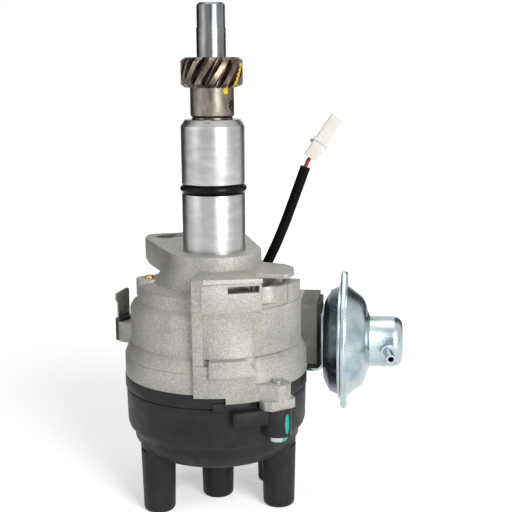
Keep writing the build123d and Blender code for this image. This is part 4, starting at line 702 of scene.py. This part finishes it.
# Presses a fine ring into a round wall: three level cuts, the middle one drawn inwards
def pressRing(piece, z, r):
    lines = castLines
    half, drawn = lines["half"], r - lines["deep"]
    work = bmesh.new()
    work.from_mesh(piece.data)
    for level in (z - half, z, z + half):
        bmesh.ops.bisect_plane(
            work,
            geom=list(work.verts) + list(work.edges) + list(work.faces),
            dist=0.0005 * mm,
            plane_co=(0, 0, level * mm),
            plane_no=(0, 0, 1),
        )
    for vert in work.verts:
        reach = math.hypot(vert.co.x, vert.co.y) / mm
        if abs(vert.co.z / mm - z) < lines["level"] and abs(reach - r) < lines["near"]:
            vert.co.x *= drawn / reach
            vert.co.y *= drawn / reach
    work.to_mesh(piece.data)
    work.free()


def makeHousing():
    size = pilotSize
    casting = mergedCopy("housing")
    low, high = size["cut"]
    clear = size["r"] + size["cutMargin"]
    cover = turnedMesh([(low, 0), (low, clear), (high, clear), (high, 0)])
    combine(casting, [cover], "DIFFERENCE")
    softenEdges(casting, castEdge, angle=30)
    for z, r in castLines["grooves"]:
        pressRing(casting, z, r)
    finishPiece(casting, "housing_casting", "housing", "cast_housing", sharpAngle=32)
    low, high = size["grooveZ"] - size["grooveHalf"], size["grooveZ"] + size["grooveHalf"]
    profile = roundedProfile(
        [
            (size["foot"], size["bore"]),
            (size["foot"], size["r"]),
            (low, size["r"], size["grooveCorner"]),
            (low, size["groove"], size["grooveCorner"]),
            (high, size["groove"], size["grooveCorner"]),
            (high, size["r"], size["grooveCorner"]),
            (size["top"] - size["noseLength"], size["r"], size["noseCorner"]),
            (size["top"], size["nose"], size["rimCorner"]),
            (size["top"], size["bore"]),
            (size["foot"], size["bore"]),
        ],
        steps=4,
    )
    pilot = newPiece("pilot", turnedMesh(profile, segments=128))
    outward, sideways = facing(size["notchAngle"])
    half = size["notchHalf"]
    notch = rectangle(-half, half, -size["notchDepth"], size["notchAbove"])
    start = outward * (size["bore"] + size["notchWall"]) + Vector((0, 0, size["top"]))
    cutter = slabMesh(notch, start, sideways, (0, 0, 1), size["notchLength"])
    combine(pilot, [cutter], "DIFFERENCE")
    finishPiece(pilot, "pilot_tube", "housing", "cast_housing", finish=finishes["turned_aluminium"])
    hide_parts("housing")
    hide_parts("housing")


makeHousing()
print("housing made")

# Drive shaft: ground nose and journal
shaftSize = {
    "nose": 6.0,
    "noseTop": 104.2,
    "noseLow": 94.3,
    "noseChamfer": 0.9,
    "journal": 6.22,
    "journalChamfer": 0.4,
    "shoulder": -22.0,
    "neck": 4.5,
    "end": -50.0,
}


def makeShaft():
    size = shaftSize
    profile = roundedProfile(
        [
            (size["noseTop"], 0),
            (size["noseTop"], size["nose"] - size["noseChamfer"], 0.25),
            (size["noseTop"] - size["noseChamfer"], size["nose"], 0.25),
            (size["noseLow"], size["nose"]),
            (size["noseLow"] - size["journalChamfer"], size["journal"]),
            (size["shoulder"], size["journal"], 0.2),
            (size["shoulder"], size["neck"]),
            (size["end"], size["neck"], 0.3),
            (size["end"], 0),
        ]
    )
    piece = newPiece("shaft", turnedMesh(profile))
    finishPiece(piece, "ground_shaft", "drive_shaft", "turned_steel")
    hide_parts("drive_shaft")


makeShaft()

# Drive gear: thirteen right-hand helical teeth on a satin hub
gearSize = {
    "teeth": 13,
    "tip": 13.1,
    "root": 9.9,
    "low": 69.5,
    "top": 81.9,
    "helix": 34.0,
    "relief": 1.7,  # how much lower the tips are at both ends, over the chamfer's length
    "chamfer": 1.3,
    "hub": 9.3,
    "hubLow": 57.0,
    "hubChamfer": 0.9,
    "shoulder": 0.1,  # the hub stops this far below the teeth
    "sunk": 0.2,  # the core's wall is this far inside the root
    "bore": 6.22,
    "boreChamfer": 0.6,
    "pinAngle": -17.0,
    "pinZ": 62.0,
    "pin": 2.4,
    "pinReach": 12,
    "phase": -2.5,
    "layers": 24,
}
# One flank of a tooth: radius, and degrees from the tooth's middle
toothR = (8.8, 9.9, 10.1, 11.2, 12.4, 13.0, 13.1)
toothTurn = (-13.4, -13.0, -11.2, -9.0, -6.9, -5.8, -5.3)
toothOutline = list(zip(toothR, toothTurn))


def makeGear():
    size = gearSize
    length = size["top"] - size["low"]
    twist = math.degrees(math.tan(math.radians(size["helix"])) * length / size["tip"])
    relief = size["relief"]
    outline = toothOutline + [(r, -turn) for r, turn in reversed(toothOutline)]
    work = bmesh.new()
    rings = []
    for layer in range(size["layers"] + 1):
        share = layer / size["layers"]
        z = size["low"] + length * share
        near = min(z - size["low"], size["top"] - z)
        limit = size["tip"] - relief + relief * min(1.0, near / size["chamfer"])
        spots = [polar(min(r, limit) * mm, turn + twist * share, z * mm) for r, turn in outline]
        rings.append([work.verts.new(spot) for spot in spots])
    for first, second in zip(rings, rings[1:]):
        for index in range(len(outline)):
            after = (index + 1) % len(outline)
            work.faces.new((first[index], first[after], second[after], second[index]))
    work.faces.new(list(reversed(rings[0])))
    work.faces.new(rings[-1])
    mesh = meshFrom(work, "tooth")
    mesh.set_sharp_from_angle(angle=math.radians(40))
    tooth = newPiece("tooth", mesh)
    inputs = {"Count": "Int", "Start": "Float", "Part": "Object"}
    tree = makeTree("gear teeth", inputs, turnedCopies, finishes["gear_steel"])
    values = {"Count": size["teeth"], "Start": math.radians(size["phase"]), "Part": tooth}
    teeth = growPiece("teeth", tree, values)
    bpy.data.objects.remove(tooth)
    finishPiece(teeth, "gear_teeth", "drive_shaft", "gear_steel", sharpAngle=28)
    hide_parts("drive_gear")
    shoulder, wall = size["low"] - size["shoulder"], size["root"] - size["sunk"]
    profile = roundedProfile(
        [
            (size["hubLow"], size["bore"]),
            (size["hubLow"], size["hub"] - size["hubChamfer"], 0.2),
            (size["hubLow"] + size["hubChamfer"], size["hub"], 0.3),
            (shoulder, size["hub"]),
            (shoulder, wall, 0.2),
            (size["top"], wall, 0.2),
            (size["top"], size["bore"] + size["boreChamfer"]),
            (size["top"] - size["boreChamfer"], size["bore"]),
            (size["hubLow"], size["bore"]),
        ]
    )
    core = newPiece("core", turnedMesh(profile))
    outward, sideways = facing(size["pinAngle"])
    reach = size["pinReach"]
    start = -outward * reach + Vector((0, 0, size["pinZ"]))
    cutter = slabMesh(circle(size["pin"], 48), start, sideways, (0, 0, 1), 2 * reach)
    combine(core, [cutter], "DIFFERENCE")
    finishPiece(core, "gear_hub", "drive_shaft", "gear_steel", finish=finishes["hub_steel"])


makeGear()
print("shaft and gear made")

# Connector: moulded housing with a collar, latch tabs and a hollow nose
plugSize = {
    "rear": (39.9, 22.65, 38.0),
    "front": (51.7, 24.15, 55.7),
    "width": 6.3,
    "depth": 8.0,
    "bodyLength": 8.0,
    "noseLength": 4.3,
    "step": 0.4,  # each length is this much smaller than the one behind it
    "overlap": 0.5,
    "collar": 0.9,
    "latchAt": (2, 0.4),  # start and end, back from the collar
    "latchSpread": 2.6,
    "latchDepth": 2.4,
    "wall": 1.2,
    "mouthDepth": 4,  # behind the nose
    "corner": 0.8,
    "edge": 0.35,
}


# Outline of a rectangle with round corners
def roundedBox(width, depth, corner, steps=5):
    outline = []
    for sx, sy, turn in ((1, 1, 0), (-1, 1, 90), (-1, -1, 180), (1, -1, 270)):
        middle = (sx * (width / 2 - corner), sy * (depth / 2 - corner))
        outline += arc(corner, turn, turn + 90, steps, middle)
    return outline


def makePlug():
    size = plugSize
    start = Vector(size["rear"])
    along = Vector(size["front"]) - start
    length = along.length
    along.normalize()
    side = along.cross(Vector((0, 1, 0))).normalized()
    up = along.cross(side)
    body, nose = size["bodyLength"], length - size["noseLength"]
    width, depth = size["width"], size["depth"]
    step, overlap, collar = size["step"], size["overlap"], size["collar"]
    latchLow, latchHigh = size["latchAt"]
    hollow = 2 * size["wall"]

    def block(low, high, width, depth, corner=size["corner"]):
        return slabMesh(roundedBox(width, depth, corner), start + along * low, side, up, high - low)

    piece = newPiece("plug", block(0, body, width, depth))
    latch = (body - latchLow, body - latchHigh, width + size["latchSpread"], size["latchDepth"])
    more = [
        block(body - overlap, nose, width - step, depth - step),
        block(nose - overlap, length, width - 2 * step, depth - 2 * step),
        block(body, body + collar, width + collar, depth + collar, 1.0),
        block(*latch, 0.3),
    ]
    combine(piece, more, "UNION")
    mouth = block(nose - size["mouthDepth"], length + 1, width - hollow, depth - hollow, 0.4)
    combine(piece, [mouth], "DIFFERENCE")
    softenEdges(piece, size["edge"], segments=3, angle=40)
    finishPiece(piece, "plug_housing", "housing", "nylon_white")
    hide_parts("connector")
    return piece


plug = makePlug()
print("connector made")

# Lead: black sleeving on the route that the model gives it, ending at two wires
leadSize = {"radius": 2.3, "length": 0.0553}
leadRoute = [
    (16.9, 19.2, -17.0),
    (22.6, 20.4, -6.0),
    (27.8, 21.1, 6.0),
    (32.4, 21.7, 18.5),
    (37.9, 22.4, 34.0),
]


def makeLead():
    curve = bpy.data.curves.new("lead", "CURVE")
    curve.dimensions = "3D"
    spline = curve.splines.new("NURBS")
    spline.points.add(len(leadRoute) - 1)
    for point, place in zip(spline.points, leadRoute):
        point.co = (*[c * mm for c in place], 1.0)
    spline.order_u = 3
    spline.use_endpoint_u = True
    spline.resolution_u = 16
    curve.bevel_depth = leadSize["radius"] * mm
    curve.bevel_resolution = 8
    curve.use_fill_caps = True
    lead = newPiece("lead_sleeving", curve)
    curve.materials.append(finishes["sleeve_black"])
    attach(lead, "housing")
    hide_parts("lead_sleeve")


makeLead()
print("lead made")

# Cap: the moulding with a step cut under its band and a lip at its edge
capSize = {
    "step": [
        (-75.4, 41),
        (-75.4, 39.55),
        (-76.4, 38.5),
        (-78.2, 36.9),
        (-79.4, 36.6),
        (-84.5, 36.1),
        (-84.5, 41),
        (-75.4, 41),
    ],
    "lipAngles": (-83.0, -61.0),
    "lipR": (38.6, 41.6),
    "lipZ": (-59.4, -56.2),
    "lipSteps": 12,
    "edge": 0.5,
}


def makeCap():
    size = capSize
    piece = mergedCopy("distributor_cap", joinFaces=False)
    combine(piece, [turnedMesh(size["step"], segments=160)], "DIFFERENCE")
    first, last = size["lipAngles"]
    steps = size["lipSteps"]
    turns = [first + (last - first) * step / steps for step in range(steps + 1)]
    inner, outer = size["lipR"]
    outline = [polar(outer, turn).xy for turn in turns]
    outline += [polar(inner, turn).xy for turn in reversed(turns)]
    low, high = size["lipZ"]
    lip = slabMesh(outline, (0, 0, low), (1, 0, 0), (0, 1, 0), high - low)
    combine(piece, [lip], "UNION")
    softenEdges(piece, size["edge"])
    finishPiece(piece, "moulded_cap", "housing", "cap_plastic")
    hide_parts("distributor_cap")


makeCap()
print("cap made")

# Vacuum unit: the two shells' rims folded into one plate that runs out into a lobe above and below
flangeSize = {
    "x": 54.2,
    "thickness": 2.9,
    "y": 23.0,
    "z": -45.7,
    "r": 26.55,
    "lobeR": 6.0,
    "lobeAt": 26.3,
    "arcSteps": 24,
    "edge": 1.0,
    "shellEdge": 0.35,
    "trim": (-0.1, 12),  # the shells lose what lies between these, out from r
    "trimX": (-4, 8),  # and between these, along from x
}


def makeFlange():
    size = flangeSize
    lean = math.degrees(math.acos((size["r"] - size["lobeR"]) / size["lobeAt"]))
    outline = []
    for middle, turn in ((0, 0), (size["lobeAt"], 90), (0, 180), (-size["lobeAt"], 270)):
        radius = size["lobeR"] if middle else size["r"]
        reach = lean if middle else 90 - lean
        outline += arc(radius, turn - reach, turn + reach, size["arcSteps"], (0, middle))
    place = (size["x"], size["y"], size["z"])
    mesh = slabMesh(outline, place, (0, 1, 0), (0, 0, 1), size["thickness"])
    piece = softenEdges(newPiece("flange", mesh), size["edge"], segments=4, angle=40)
    finishPiece(piece, "unit_flange", "housing", "vacuum_zinc")


# A shell without the rim lobes, which the folded plate now carries
def makeShell(name):
    size = flangeSize
    piece = mergedCopy(name)
    rim, far = (size["r"] + c for c in size["trim"])
    low, high = (size["x"] + c for c in size["trimX"])
    ring = [(low, rim), (low, far), (high, far), (high, rim), (low, rim)]
    combine(piece, [turnedMesh(ring, (0, size["y"], size["z"]), "X", 128)], "DIFFERENCE")
    softenEdges(piece, size["shellEdge"])
    finishPiece(piece, name + "_dressed", "housing", "vacuum_zinc", finishOf(name))
    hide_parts(name)


makeFlange()
for name in ("front_shell", "rear_shell"):
    makeShell(name)
print("vacuum unit made")

# Bracket: strip folded round the gasket's lower corner on an easy bend
bracketSize = {
    "x": 45.6,
    "thickness": 1.2,
    "foot": -57.7,
    "far": 33.0,
    "width": 20.0,
    "bend": 3.6,
    "bendSteps": 10,
    "lap": 0.2,  # the bend runs this far into both flats
    "edge": 0.2,
}


def makeBracket():
    size = bracketSize
    outer = size["bend"]
    inner = outer - size["thickness"]
    wide, lap = outer + 1, size["lap"]
    centre = (size["x"] - inner, size["far"], size["foot"] + outer)

    def block(outline):
        return slabMesh(outline, centre, (1, 0, 0), (0, 0, 1), size["width"])

    outside = arc(outer, -90, 0, size["bendSteps"])
    inside = arc(inner, -90, 0, size["bendSteps"])
    bend = [(-lap, -outer), *outside, (outer, lap), (inner, lap), *inside[::-1], (-lap, -inner)]
    strip = mergedCopy("vacuum_bracket")
    combine(strip, [block(rectangle(0, wide, 0, -wide))], "DIFFERENCE")
    combine(strip, [block(bend)], "UNION")
    softenEdges(strip, size["edge"])
    finishPiece(strip, "folded_bracket", "housing", slotOf["vacuum_bracket"])
    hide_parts("vacuum_bracket")
    gasket = mergedCopy("vacuum_gasket")
    corner = block([*inside, (wide, 0), (wide, -wide), (0, -wide)])
    combine(gasket, [corner], "DIFFERENCE")
    finishPiece(gasket, "unit_gasket", "housing", slotOf["vacuum_gasket"])
    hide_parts("vacuum_gasket")


makeBracket()
print("bracket made")

# Earth terminal: a stamped tab with a step in one edge, held by a domed brass screw
terminalSize = {
    "angle": 152.0,
    "face": 39.4,
    "offset": 16.6,
    "tab": [
        (-4.35, -40),
        (-4.35, -18.9, 1.3),
        (4.35, -20.7, 1.3),
        (4.35, -23.6, 0.5),
        (3.2, -24.8, 0.5),
        (3.2, -40.6),
        (1.8, -42),
        (-2.35, -42),
        (-4.35, -40),
    ],
    "thickness": 0.9,
    "edge": 0.12,
    "screwZ": -36.0,
    "screwR": 1.5,
    "reach": 7.6,
    "headR": 2.94,
    "headHeight": 1.9,
    "crown": 1.4,
    "slot": (0.8, 0.8),
}


def makeTerminal():
    size = terminalSize
    outward, sideways = facing(size["angle"])
    spot = outward * size["face"] + sideways * size["offset"]
    outline = roundedProfile(size["tab"], steps=4)[:-1]
    tab = newPiece("tab", slabMesh(outline, spot, sideways, (0, 0, 1), size["thickness"]))
    hole = circle(size["screwR"], 32, (0, size["screwZ"]))
    combine(tab, [slabMesh(hole, spot - outward, sideways, (0, 0, 1), 4)], "DIFFERENCE")
    softenEdges(tab, size["edge"])
    finishPiece(tab, "stamped_tab", "housing", slotOf["terminal_tab"], finishes["tab_steel"])
    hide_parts("terminal_tab")
    height, radius, reach = size["headHeight"], size["headR"], size["reach"]
    profile = [
        (-reach, 0),
        (-reach, size["screwR"]),
        (0, size["screwR"]),
        (0, radius),
        (height, radius, size["crown"]),
        (height, 0),
    ]
    mesh = turnedMesh(roundedProfile(profile, steps=6), segments=64)
    turn = Matrix((sideways, (0, 0, 1), outward)).transposed().to_4x4()
    place = spot + outward * size["thickness"] + Vector((0, 0, size["screwZ"]))
    mesh.transform(Matrix.Translation(place * mm) @ turn)
    screw = newPiece("screw", mesh)
    across, deep = size["slot"]
    slot = rectangle(-across / 2, across / 2, -radius - 1, radius + 1)
    floor = place + outward * (height - deep)
    combine(screw, [slabMesh(slot, floor, sideways, (0, 0, 1), deep + 1)], "DIFFERENCE")
    finishPiece(screw, "domed_screw", "housing", slotOf["terminal_screw"])
    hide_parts("terminal_screw")


makeTerminal()
print("terminal made")

# Springs: round wire wound between its seats
springPlan = {
    "vacuum_spring": {
        "joint": "link_slide",
        "travel": 4.024,
        "wire": 0.5,
        "coils": 7.0,
        "along": 0,
        "seat": "high",
    },
    "brush_spring": {
        "joint": "brush_slide",
        "travel": 1.5,
        "wire": 0.26,
        "coils": 9.0,
        "along": 2,
        "seat": "low",
    },
}


def makeSprings():
    inputs = {label: "Float" for label in ("Coils", "Radius", "Length", "Wire")}
    inputs |= {"Place": "Vector", "Turn": "Vector"}
    tree = makeTree("coiled wire", inputs, coiledWire, finishes["spring_steel"])
    for name, plan in springPlan.items():
        low, high = (Vector(corner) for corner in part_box(name))
        along, wire = plan["along"], plan["wire"] * mm
        length = high[along] - low[along]
        start = (low + high) / 2
        start[along] = low[along] + wire
        seat = start.copy()
        seat[along] = high[along] if plan["seat"] == "high" else low[along]
        direction = Vector((0, 0, 0))
        direction[along] = 1
        values = {
            "Coils": plan["coils"],
            "Radius": (high.y - low.y) / 2 - wire,
            "Length": length - 2 * wire,
            "Wire": wire,
            "Place": tuple(start),
            "Turn": (0.0, math.pi / 2 if along == 0 else 0.0, 0.0),
        }
        piece = growPiece(name + "_coil", tree, values)
        finishPiece(piece, name + "_coil", bodyOf[name], slotOf[name])
        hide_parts(name)
        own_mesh(piece)


makeSprings()
print("springs made")

# Pieces whose CAD shape is right and only want their edges broken
edgeWidths = {
    "terminal_insulator": 0.2,
    "vacuum_nipple": 0.12,
    "thrust_washer": 0.12,
}
for name, width in edgeWidths.items():
    dressNode(name, width)
print("plain pieces dressed:", len(edgeWidths))

# Camera where the photograph was taken from
cameraSize = {
    "lens": 70.31,
    "sensor": 36.0,
    "place": (0.07146, -0.42202, 0.0777),
    "forward": (-0.12316, 0.97488, -0.18559),
    "roll": 0.476,
    "clip": (0.01, 20),
}


def makeCamera():
    data = bpy.data.cameras.new("camera")
    data.lens = cameraSize["lens"]
    data.sensor_width = cameraSize["sensor"]
    data.sensor_fit = "HORIZONTAL"
    data.clip_start, data.clip_end = cameraSize["clip"]
    camera = newPiece("camera", data)
    forward = Vector(cameraSize["forward"]).normalized()
    right = forward.cross(Vector((0, 0, 1))).normalized()
    up = right.cross(forward)
    roll = math.radians(cameraSize["roll"])
    turnedRight = right * math.cos(roll) - up * math.sin(roll)
    turnedUp = right * math.sin(roll) + up * math.cos(roll)
    turn = Matrix((turnedRight, turnedUp, -forward)).transposed()
    camera.matrix_world = Matrix.Translation(cameraSize["place"]) @ turn.to_4x4()
    scene.camera = camera


makeCamera()

# Light: two tall soft boxes, one from above, a white floor and white surroundings
# Each lamp: place, width, height and power
lightPlan = [
    ("key", (0.5, -0.62, 0.32), 0.4, 0.7, 8.8),
    ("fill", (-0.62, -0.42, 0.3), 0.4, 0.7, 1.4),
    ("top", (0.0, 0.2, 0.85), 0.6, 0.6, 2.2),
]
worldLight = 0.1
aim = Vector((0.01, 0, 0))

# Dark cards that only mirrors see: they draw the dark edges and middle lines of bright metal
# Each card: angle, distance and width
cardPlan = [
    ("left", 145.0, 0.5, 0.46),
    ("right", 56.0, 0.5, 0.27),
    ("middle", -82.0, 1.1, 0.16),
]
cardHeight = 1.4
cardGrey = 0.02


# 1 for rays from the camera and from mirrors, else 0
def directRays(tree, path):
    return mathNode(tree, "MAXIMUM", path.outputs["Is Camera Ray"], path.outputs["Is Glossy Ray"])


def makeLights():
    for name, place, width, height, power in lightPlan:
        data = bpy.data.lights.new(name, "AREA")
        data.shape = "RECTANGLE"
        data.size = width
        data.size_y = height
        data.energy = power
        lamp = newPiece(name, data)
        lamp.location = place
        lamp.rotation_euler = (aim - Vector(place)).to_track_quat("-Z", "Y").to_euler()
    world = bpy.data.worlds.new("studio")
    scene.world = world
    world.use_nodes = True
    tree = world.node_tree
    tree.nodes.clear()
    path = addNode(tree, "ShaderNodeLightPath")
    shown = mathNode(tree, "MAXIMUM", directRays(tree, path), path.outputs["Is Transmission Ray"])
    strength = remap(tree, shown, (0, 1), (worldLight, 1))
    back = addNode(tree, "ShaderNodeBackground", {"Color": (1, 1, 1, 1), "Strength": strength})
    addNode(tree, "ShaderNodeOutputWorld", {"Surface": back.outputs[0]})


def makeCards():
    material, tree = emptyMaterial("black_card")
    board = addNode(tree, "ShaderNodeBsdfDiffuse", {"Color": (*[cardGrey] * 3, 1)})
    addNode(tree, "ShaderNodeOutputMaterial", {"Surface": board.outputs[0]})
    for name, angle, distance, width in cardPlan:
        middle = polar(distance, angle)
        aside = polar(width / 2, angle + 90)
        up = Vector((0, 0, cardHeight / 2))
        mesh = bpy.data.meshes.new(name + "_card")
        corners = [middle - aside - up, middle + aside - up, middle + aside + up, middle - aside + up]
        mesh.from_pydata(corners, [], [(0, 1, 2, 3)])
        mesh.materials.append(material)
        card = newPiece(name + "_card", mesh)
        card.visible_camera = False
        card.visible_diffuse = False
        card.visible_shadow = False


# White paper that glows in the picture, more with its distance, but lights nothing itself
floorPlan = {"half": 3.0, "paper": 0.86, "reach": (0.22, 0.75), "glow": (0.5, 1.0)}


def makeFloor():
    mesh = bpy.data.meshes.new("floor")
    half = floorPlan["half"]
    corners = [(x, y, cadLow.z) for x, y in rectangle(-half, half, -half, half)]
    mesh.from_pydata(corners, [], [(0, 1, 2, 3)])
    floor = newPiece("floor", mesh)
    material, tree = emptyMaterial("white_sweep")
    path = addNode(tree, "ShaderNodeLightPath")
    paper = addNode(tree, "ShaderNodeBsdfDiffuse", {"Color": (*[floorPlan["paper"]] * 3, 1)})
    spot = addNode(tree, "ShaderNodeTexCoord").outputs["Object"]
    away = addNode(tree, "ShaderNodeVectorMath", {0: spot}, operation="LENGTH")
    glowing = remap(tree, away.outputs["Value"], floorPlan["reach"], floorPlan["glow"])
    glow = addNode(tree, "ShaderNodeEmission", {"Color": (1, 1, 1, 1), "Strength": glowing})
    both = addNode(tree, "ShaderNodeAddShader", {0: paper.outputs[0], 1: glow.outputs[0]})
    shares = {0: directRays(tree, path), 1: paper.outputs[0], 2: both.outputs[0]}
    mixed = addNode(tree, "ShaderNodeMixShader", shares)
    addNode(tree, "ShaderNodeOutputMaterial", {"Surface": mixed.outputs[0]})
    mesh.materials.append(material)


makeLights()
makeCards()
makeFloor()
scene.view_settings.view_transform = "Standard"
print("camera, light and floor ready")
